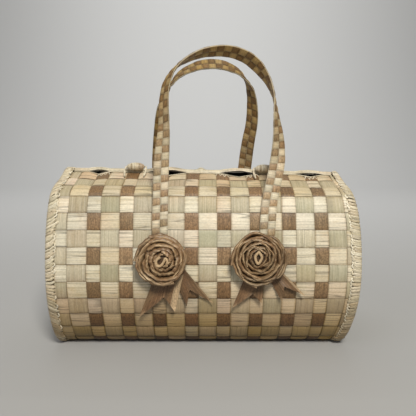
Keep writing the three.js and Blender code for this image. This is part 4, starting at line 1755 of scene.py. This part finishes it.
@dataclass
class Tail:
    """A notched leaf tail that hangs down from under a rose, one long edge folded over and tinted pale as a
    painted highlight.
    """

    barrel: Barrel
    name: str
    rose: Rose
    # Left edge, middle and right edge of its root under the rose and of its notched end.
    root: tuple[Spot, Spot, Spot]
    tip: tuple[Spot, Spot, Spot]
    # Where across the leaf, from 0 to 2, the fold begins, and how strongly it rises and is tinted pale as a
    # painted highlight.
    fold: float
    fold_lift_and_highlight: float
    # Height off the wall at the root, and how much higher the end is.
    gap: float
    lift: float
    seed: int
    thickness: float = 0.7
    # Samples across the leaf before the fold and after it, and along the leaf.
    across: tuple[float, ...] = (0.0, 0.1, 0.35, 0.7, 1.0, 1.25)
    edge: tuple[float, ...] = (1.97, 2.0)
    fold_step: float = 0.1
    along_samples: int = 18
    # About the length and half width of a tail, for its grain.
    length: float = 30.0
    half_width: float = 11.0
    fold_rise: float = 0.8
    curl: float = 0.6
    # Painted shade at the root, under the rose.
    root_shade: float = 0.35
    # Share of the length from which the points are rubbed, and how much.
    worn_from: float = 0.86
    worn: float = 0.5

    def build(self) -> None:
        """Builds the leaf as one thin solid."""
        rng = np.random.default_rng(self.seed)
        across = np.array([*self.across, self.fold - self.fold_step, self.fold, *self.edge])
        run = np.linspace(0, 1, self.along_samples)[:, None]
        root, tip = (along_line(np.array(row), np.arange(3), across) for row in (self.root, self.tip))
        spots = root + (tip - root) * run[..., None]
        x = self.rose.x + spots[..., 0]
        height = self.rose.height_on_wall + spots[..., 1]
        along = run * self.length
        bend = self.curl * np.sin(math.pi * across) * run + wander(along + 9 * across, Wobble(24, 0.35), rng)
        folded = np.clip((across - self.fold + self.fold_step) / self.fold_step, 0, 1)
        fold = self.fold_rise * self.fold_lift_and_highlight * folded * blend((0.4, 1.0), run)
        off = np.maximum(self.gap + self.lift * run**2 + bend * run + fold, self.gap)
        top = self.barrel.on_wall(x, height, Side.FRONT, off + self.thickness)
        under = self.barrel.on_wall(x, height, Side.FRONT, off)
        # Painted shade darkens the root, under the rose.
        tone = 0.1 + wander(along + 40 * across, Wobble(45, 0.14), rng) - self.root_shade * (1 - run) ** 3
        hue = wander(run * 20 + 15 * across, Wobble(37, 0.4), rng)
        rubbed = np.clip((run - self.worn_from) / (1 - self.worn_from), 0, 1) * (np.abs(across - 1) > 0.8)
        # The fold is tinted pale as a painted highlight; the tips are rubbed.
        tint = beside(tone, hue, folded * self.fold_lift_and_highlight + self.worn * rubbed)
        draft = Draft(f"leaf_{self.name}")
        draft.sheet(top, under, beside(along, across * self.half_width, self.seed), tint)
        draft.build(TAIL_LEAF, "tail_leaf", self.name, crease=55.0)


class Band(NamedTuple):
    """A band of leaf round a knot: its place along the knot, its tilt, its tone and its warmth."""

    place: float
    tilt: float
    tone: float
    warmth: float


@dataclass
class Closure:
    """A closing tie: a leaf loop out of the front roof that goes over the lip and round a leaf knot."""

    barrel: Barrel
    name: str
    x: float
    seed: int
    # Top of the bound edge over the lip's line.
    lip_top: float = 1.5
    # Half sizes of the knot, and its place back from the middle and up from the lip.
    knot: Triple = (7.8, 4.0, 3.6)
    knot_y: float = -3.0
    knot_rise: float = 3.9
    knot_sides: int = 24
    knot_rings: int = 15
    knot_end: float = 0.97
    knot_tint: Triple = (-0.25, 0.4, 0.0)
    # How far the knot's body and the middle of its bands lie in from its face.
    body_in: float = 0.5
    band_in: float = 0.3
    band_width: float = 4.4
    band_thickness: float = 0.9
    band_sides: int = 10
    bands: tuple[Band, ...] = (
        Band(-0.66, 0.12, -0.06, 0.1), Band(-0.2, -0.16, 0.0, 0.0), Band(0.24, 0.14, -0.04, 0.2),
        Band(0.72, -0.1, -0.3, 0.8),
    )
    # The loop's left leg from the front roof to the knot's back, with X from its widest reach.
    reach: float = 9.3
    leg: tuple[Triple, ...] = ((1, -13, -3.6), (0, -8, -0.9), (0, -3, 2.4), (1.3, 1.2, 3.6), (5.1, 3.1, 3.9))
    loop_back: Triple = (0, 3.6, 3.9)
    loop_steps: int = 6
    # The loop is twisted of two strands: their way off its line, and the length of a turn in radians.
    twist: float = 0.4
    twist_length: float = 2.2
    loop_width: float = 1.5
    loop_thickness: float = 1.0
    loop_wear: float = 0.4

    def __post_init__(self) -> None:
        """Finds the top of the lip's bound edge."""
        self.top = self.barrel.lip_height * self.barrel.scale(self.x) + self.lip_top
        self.rng = np.random.default_rng(self.seed)

    def build_loop(self) -> None:
        """Builds the loop of twisted leaf."""
        left = np.array(self.leg) - [self.reach, 0, 0]
        right = left[::-1] * [-1, 1, 1]
        bends = np.vstack([left, [self.loop_back], right])
        path = smooth_line(bends, self.loop_steps) + [self.x, 0, self.top]
        draft = Draft(f"tie_loop_{self.name}")
        out = unit(path - [self.x, self.knot_y, self.top + 1.0])
        side = unit(np.cross(np.gradient(path, axis=0), out))
        for k, shift in enumerate((0.0, math.pi)):
            angle = (run_of(path) / self.twist_length + shift)[:, None]
            line = path + self.twist * (out * np.cos(angle) + side * np.sin(angle))
            face = line - path + 0.6 * out
            tint = np.array([self.rng.uniform(-0.05, 0.08), self.rng.uniform(-0.2, 0.3), self.loop_wear])
            draft.strand(line, face, self.loop_width, self.loop_thickness, 8.3 * k, tint)
        draft.build(WHIPPED_LEAF, "bound_leaf", f"loop_{self.name}")

    def build_knot(self) -> None:
        """Builds the knot: a filled body, bands of leaf wound across it, and one dyed fold on its right."""
        width, thickness = self.band_width, self.band_thickness
        draft = Draft(f"tie_knot_{self.name}")
        centre = np.array([self.x, self.knot_y, self.top + self.knot_rise])
        size = np.array(self.knot)
        angle = ROUND * np.arange(self.knot_sides) / self.knot_sides
        share = np.linspace(-self.knot_end, self.knot_end, self.knot_rings)[:, None]
        ring = np.sqrt(1 - share**2)
        body = beside(share, ring * np.cos(angle), ring * np.sin(angle))
        draft.loft(centre + body * (size - self.body_in), body * 9, np.array(self.knot_tint))
        for k, band in enumerate(self.bands):
            across = band.place + band.tilt * np.cos(angle)
            ring = np.sqrt(np.maximum(1 - across**2, 0.05))
            ball = beside(across, ring * np.cos(angle), ring * np.sin(angle))
            path = centre + ball * (size - self.band_in)
            tone = band.tone + self.rng.uniform(-0.05, 0.05)
            tint = np.array([tone, band.warmth, self.rng.uniform(0, 0.2)])
            draft.strand(path, ball / size, width, thickness, 5.7 * k, tint, self.band_sides, ring=True)
        draft.build(WHIPPED_LEAF, "bound_leaf", f"knot_{self.name}")

    def build(self) -> None:
        """Builds the loop and the knot."""
        self.build_loop()
        self.build_knot()


class Lamp(NamedTuple):
    """A square lamp: its place in metres, side in metres, power in watts, colour and the point it faces."""

    name: str
    place: Triple
    size: float
    power: float
    colour: str
    aim: Triple = (0.0, 0.0, 0.09)


@dataclass
class Studio:
    """A pale floor that sweeps up behind the purse, soft lamps and the camera."""

    # The camera: its place in mm, degrees down from level, and its lens and sensor in mm.
    eye: Triple = (3.7, -409.4, 186.9)
    pitch: float = 10.0
    lens: float = 38.94
    sensor: float = 36.0
    clip_start: float = 0.01
    # The floor and its sweep, in metres.
    floor: str = "#a5a4a1"
    floor_roughness: float = 0.85
    half_width: float = 4.0
    front: float = -3.0
    bend_start: float = 1.0
    bend_radius: float = 0.8
    bend_samples: int = 24
    wall_top: float = 3.0
    world: str = "#e8e8ea"
    world_light: float = 0.24
    lamps: tuple[Lamp, ...] = (
        Lamp("key", (0.2, -0.82, 0.98), 0.28, 13.9, "#fffcf5"),
        Lamp("fill", (-0.95, -0.7, 0.75), 0.9, 3.4, "#f8f8ff"),
        Lamp("top", (-0.1, 0.2, 1.2), 0.7, 0.6, "#ffffff"),
        Lamp("sweep", (0.0, 0.7, 1.3), 1.2, 27.0, "#fafcff", (0.0, 1.8, 0.55)),
    )

    def build_floor(self) -> None:
        """Lays the floor and its sweep."""
        turn = np.linspace(0, math.pi / 2, self.bend_samples)
        y = np.concatenate([[self.front], self.bend_start + self.bend_radius * np.sin(turn)])
        z = np.concatenate([[0.0], self.bend_radius * (1 - np.cos(turn))])
        line = np.vstack([beside(y, z), [[y[-1], self.wall_top]]])
        points = [(side * self.half_width, a, b) for a, b in line for side in (-1, 1)]
        faces = [(2 * i, 2 * i + 1, 2 * i + 3, 2 * i + 2) for i in range(len(line) - 1)]
        mesh = bpy.data.meshes.new("floor")
        mesh.from_pydata(points, [], faces)
        mesh.polygons.foreach_set("use_smooth", [True] * len(faces))
        # Matt painted board: even and without a gleam.
        paint = bpy.data.materials.new("Studio floor, matt painted")
        paint.use_nodes = True
        shader = paint.node_tree.nodes["Principled BSDF"]
        shader.inputs["Base Color"].default_value = linear(self.floor)
        shader.inputs["Roughness"].default_value = self.floor_roughness
        mesh.materials.append(paint)
        add_object("floor", mesh)

    def build_lamps(self) -> None:
        """Hangs the lamps and sets the light all round."""
        for row in self.lamps:
            data = bpy.data.lights.new(row.name, "AREA")
            data.size = row.size
            data.energy = row.power
            data.color = linear(row.colour)[:3]
            lamp = add_object(row.name, data)
            lamp.location = row.place
            lamp.rotation_euler = (lamp.location - Vector(row.aim)).to_track_quat("Z", "Y").to_euler()
        world = bpy.data.worlds.new("studio")
        world.use_nodes = True
        sky = world.node_tree.nodes["Background"]
        sky.inputs["Color"].default_value = linear(self.world)
        sky.inputs["Strength"].default_value = self.world_light
        bpy.context.scene.world = world

    def build_camera(self) -> None:
        """Sets the camera at the photo's angle."""
        data = bpy.data.cameras.new("camera")
        data.lens = self.lens
        data.sensor_width = self.sensor
        data.clip_start = self.clip_start
        camera = add_object("camera", data)
        x, y, z = self.eye
        camera.location = (x * MM, (y + MIDDLE_Y) * MM, z * MM)
        camera.rotation_euler = (math.radians(90 - self.pitch), 0, 0)
        bpy.context.scene.camera = camera

    def build(self) -> None:
        """Sets the stage."""
        self.build_floor()
        self.build_lamps()
        self.build_camera()
        bpy.context.scene.view_settings.view_transform = "Standard"


def straps(barrel: Barrel) -> list[Strap]:
    """The two handles with their arches from the left foot to the right one.

    Args:
        barrel: the surface that they stand on.

    Returns:
        The front and the back handle.
    """
    front = Strap(
        barrel, "front", Side.FRONT,
        left=Foot(-35.8, 0.2, 0), right=Foot(51.5, 2.8, 0),
        arch=(
            ArchRow(-35, -36, 158, -5), ArchRow(-34.2, -33, 171, -22), ArchRow(-33.2, -31, 184, -38),
            ArchRow(-33, -29, 196, -46), ArchRow(-32.8, -27, 211, -53), ArchRow(-30.6, -24.5, 224, -60),
            ArchRow(-24.5, -22, 235.5, -78), ArchRow(-14, -20, 243.3, -98), ArchRow(-1.3, -19, 248.6, -111),
            ArchRow(8, -18, 250.3, -118), ArchRow(18, -18, 250.6, -123), ArchRow(27, -18.5, 248.9, -126),
            ArchRow(36.6, -19, 244.8, -129), ArchRow(44.1, -20, 238.8, -128), ArchRow(51.1, -22, 230, -112),
            ArchRow(55.9, -23.5, 221, -98), ArchRow(59.2, -25, 210.2, -83), ArchRow(60.8, -28, 196, -64),
            ArchRow(62.4, -30.5, 179.2, -42), ArchRow(62.2, -32.5, 169, -26), ArchRow(60.8, -35.5, 156, -5),
        ),
        tone=0.0, seed=51,
    )
    back = Strap(
        barrel, "back", Side.BACK,
        left=Foot(-46, 0.5, 180), right=Foot(37, 1.4, 180),
        arch=(
            ArchRow(-45, 36.5, 154, 182), ArchRow(-43.4, 33, 172, 190), ArchRow(-41.6, 30, 189, 204),
            ArchRow(-39.6, 27.5, 205, 228), ArchRow(-35.6, 25, 219, 262), ArchRow(-29, 22.5, 229.5, 286),
            ArchRow(-21.5, 20.5, 236.7, 299), ArchRow(-12.8, 19.3, 241, 307), ArchRow(-3.6, 18.5, 244, 313),
            ArchRow(6.4, 18, 245, 316), ArchRow(15.8, 18, 244.3, 314), ArchRow(25.4, 18.6, 241.4, 306),
            ArchRow(33.6, 20, 236.9, 291), ArchRow(39.4, 22.3, 230.4, 270), ArchRow(43.6, 25, 221.5, 246),
            ArchRow(45.8, 28.2, 206.5, 228), ArchRow(45.6, 31, 191, 217), ArchRow(43.4, 33.5, 177, 208),
            ArchRow(41.4, 36, 162, 196),
        ),
        # Painted shade: the back handle is darker all over, and its painted shade and handling stain start
        # lower.
        tone=-0.15, seed=52, shade_and_handling_from=100.0,
    )
    return [front, back]


def roses(barrel: Barrel) -> dict[str, Rose]:
    """The two roses: the left one loose with broad petals, the right one a close even spiral.

    Args:
        barrel: the surface that they lie on.

    Returns:
        The roses by their names.
    """
    left = Rose(
        barrel, "left", x=-33.4, start=40.0,
        coil=(
            CoilRow(0.5, 3.4, 2, 9.8), CoilRow(2.0, 7.6, 8, 10.4), CoilRow(3.9, 12.2, 19, 9.6),
            CoilRow(5.6, 16.0, 31, 7.8),
        ),
        petal_turn=0.24, uneven=0.9, crumple=0.6, roll_width=1.45, wide_top=0.4, flat=(0.08, 0.2),
        eye=(1.6, -0.4),
        bud=(
            (-2.6, 3.4), (-5.6, 0.4), (-5.0, -3.6), (-2.0, -3.4), (0.4, -0.4), (1.6, 2.2), (3.2, 0.4),
            (2.4, -4.0),
        ),
        bud_closed=False, tone=0.1, seed=166,
    )
    right = Rose(
        barrel, "right", x=44.4, start=150.0,
        coil=(
            CoilRow(0.5, 4.8, 2, 9.8), CoilRow(2.6, 9.1, 7, 10.4), CoilRow(4.7, 13.6, 17, 9.6),
            CoilRow(6.6, 18.0, 29, 7.8),
        ),
        petal_turn=0.22, uneven=0.45, crumple=0.42, roll_width=1.32, wide_top=0.1, flat=(0.1, 0.2),
        eye=(-0.4, 1.2), bud=((0.2, 4.6), (-2.7, 0.7), (-0.6, -4.9), (2.5, 0.2)), bud_closed=True, tone=0.0,
        seed=264, height_on_wall=82.6,
    )
    return {rose.name: rose for rose in (left, right)}


def tails(barrel: Barrel, left: Rose, right: Rose) -> list[Tail]:
    """The four notched tails.

    Args:
        barrel: the surface that they hang on.
        left: the left rose, with the first two of them.
        right: the right rose, with the last two.

    Returns:
        The tails.
    """
    return [
        Tail(
            barrel, "tail_left_a", left,
            root=(Spot(-7, -15), Spot(5, -13.5), Spot(17, -12)),
            tip=(Spot(-19.8, -46.9), Spot(1.1, -29.7), Spot(10, -41.8)),
            fold=1.62, fold_lift_and_highlight=0.9, gap=1.2, lift=3.0, seed=71,
        ),
        Tail(
            barrel, "tail_left_b", left,
            root=(Spot(8, -13), Spot(14, -10), Spot(17.2, -7)),
            tip=(Spot(19.5, -38.7), Spot(22, -24), Spot(41.6, -36.1)),
            fold=1.9, fold_lift_and_highlight=0.3, gap=0.4, lift=1.8, seed=72,
        ),
        Tail(
            barrel, "tail_right_a", right,
            root=(Spot(-9, -12), Spot(-1, -13), Spot(6, -13.5)),
            tip=(Spot(-20.6, -40.4), Spot(-4.3, -28.3), Spot(3.2, -36.5)),
            fold=1.9, fold_lift_and_highlight=0.1, gap=0.4, lift=3.0, seed=73,
        ),
        Tail(
            barrel, "tail_right_b", right,
            root=(Spot(7.4, -13.6), Spot(12, -11.5), Spot(16.5, -8)),
            tip=(Spot(19.5, -34.3), Spot(21.6, -22.4), Spot(39.1, -30.1)),
            fold=1.8, fold_lift_and_highlight=0.75, gap=0.4, lift=3.0, seed=74,
        ),
    ]


def main() -> None:
    """Builds the purse piece by piece, then the stage."""
    logging.basicConfig(level=logging.INFO, format="%(name)s: %(message)s")
    barrel = Barrel()
    Plait(barrel).build()
    for end in End:
        rim = Rim(barrel, end)
        rim.build()
        EndDisc(rim).build()
    stitched = (-90.7, 16.9, 43.8, 97.6)
    LipEdge(barrel, Side.FRONT, width=0.9, thickness=0.7, rise=0.35, tone=-0.06, stitched=stitched).build()
    LipEdge(barrel, Side.BACK, width=3.4, thickness=1.2, rise=0.65, tone=0.0).build()
    for strap in straps(barrel):
        strap.build()
    by_name = roses(barrel)
    for rose in by_name.values():
        rose.build()
    for tail in tails(barrel, **by_name):
        tail.build()
    for name, x, seed in (("left", -61.5, 81), ("right", 54.2, 82)):
        Closure(barrel, name, x, seed).build()
    Studio().build()


if __name__ == "__main__":
    main()
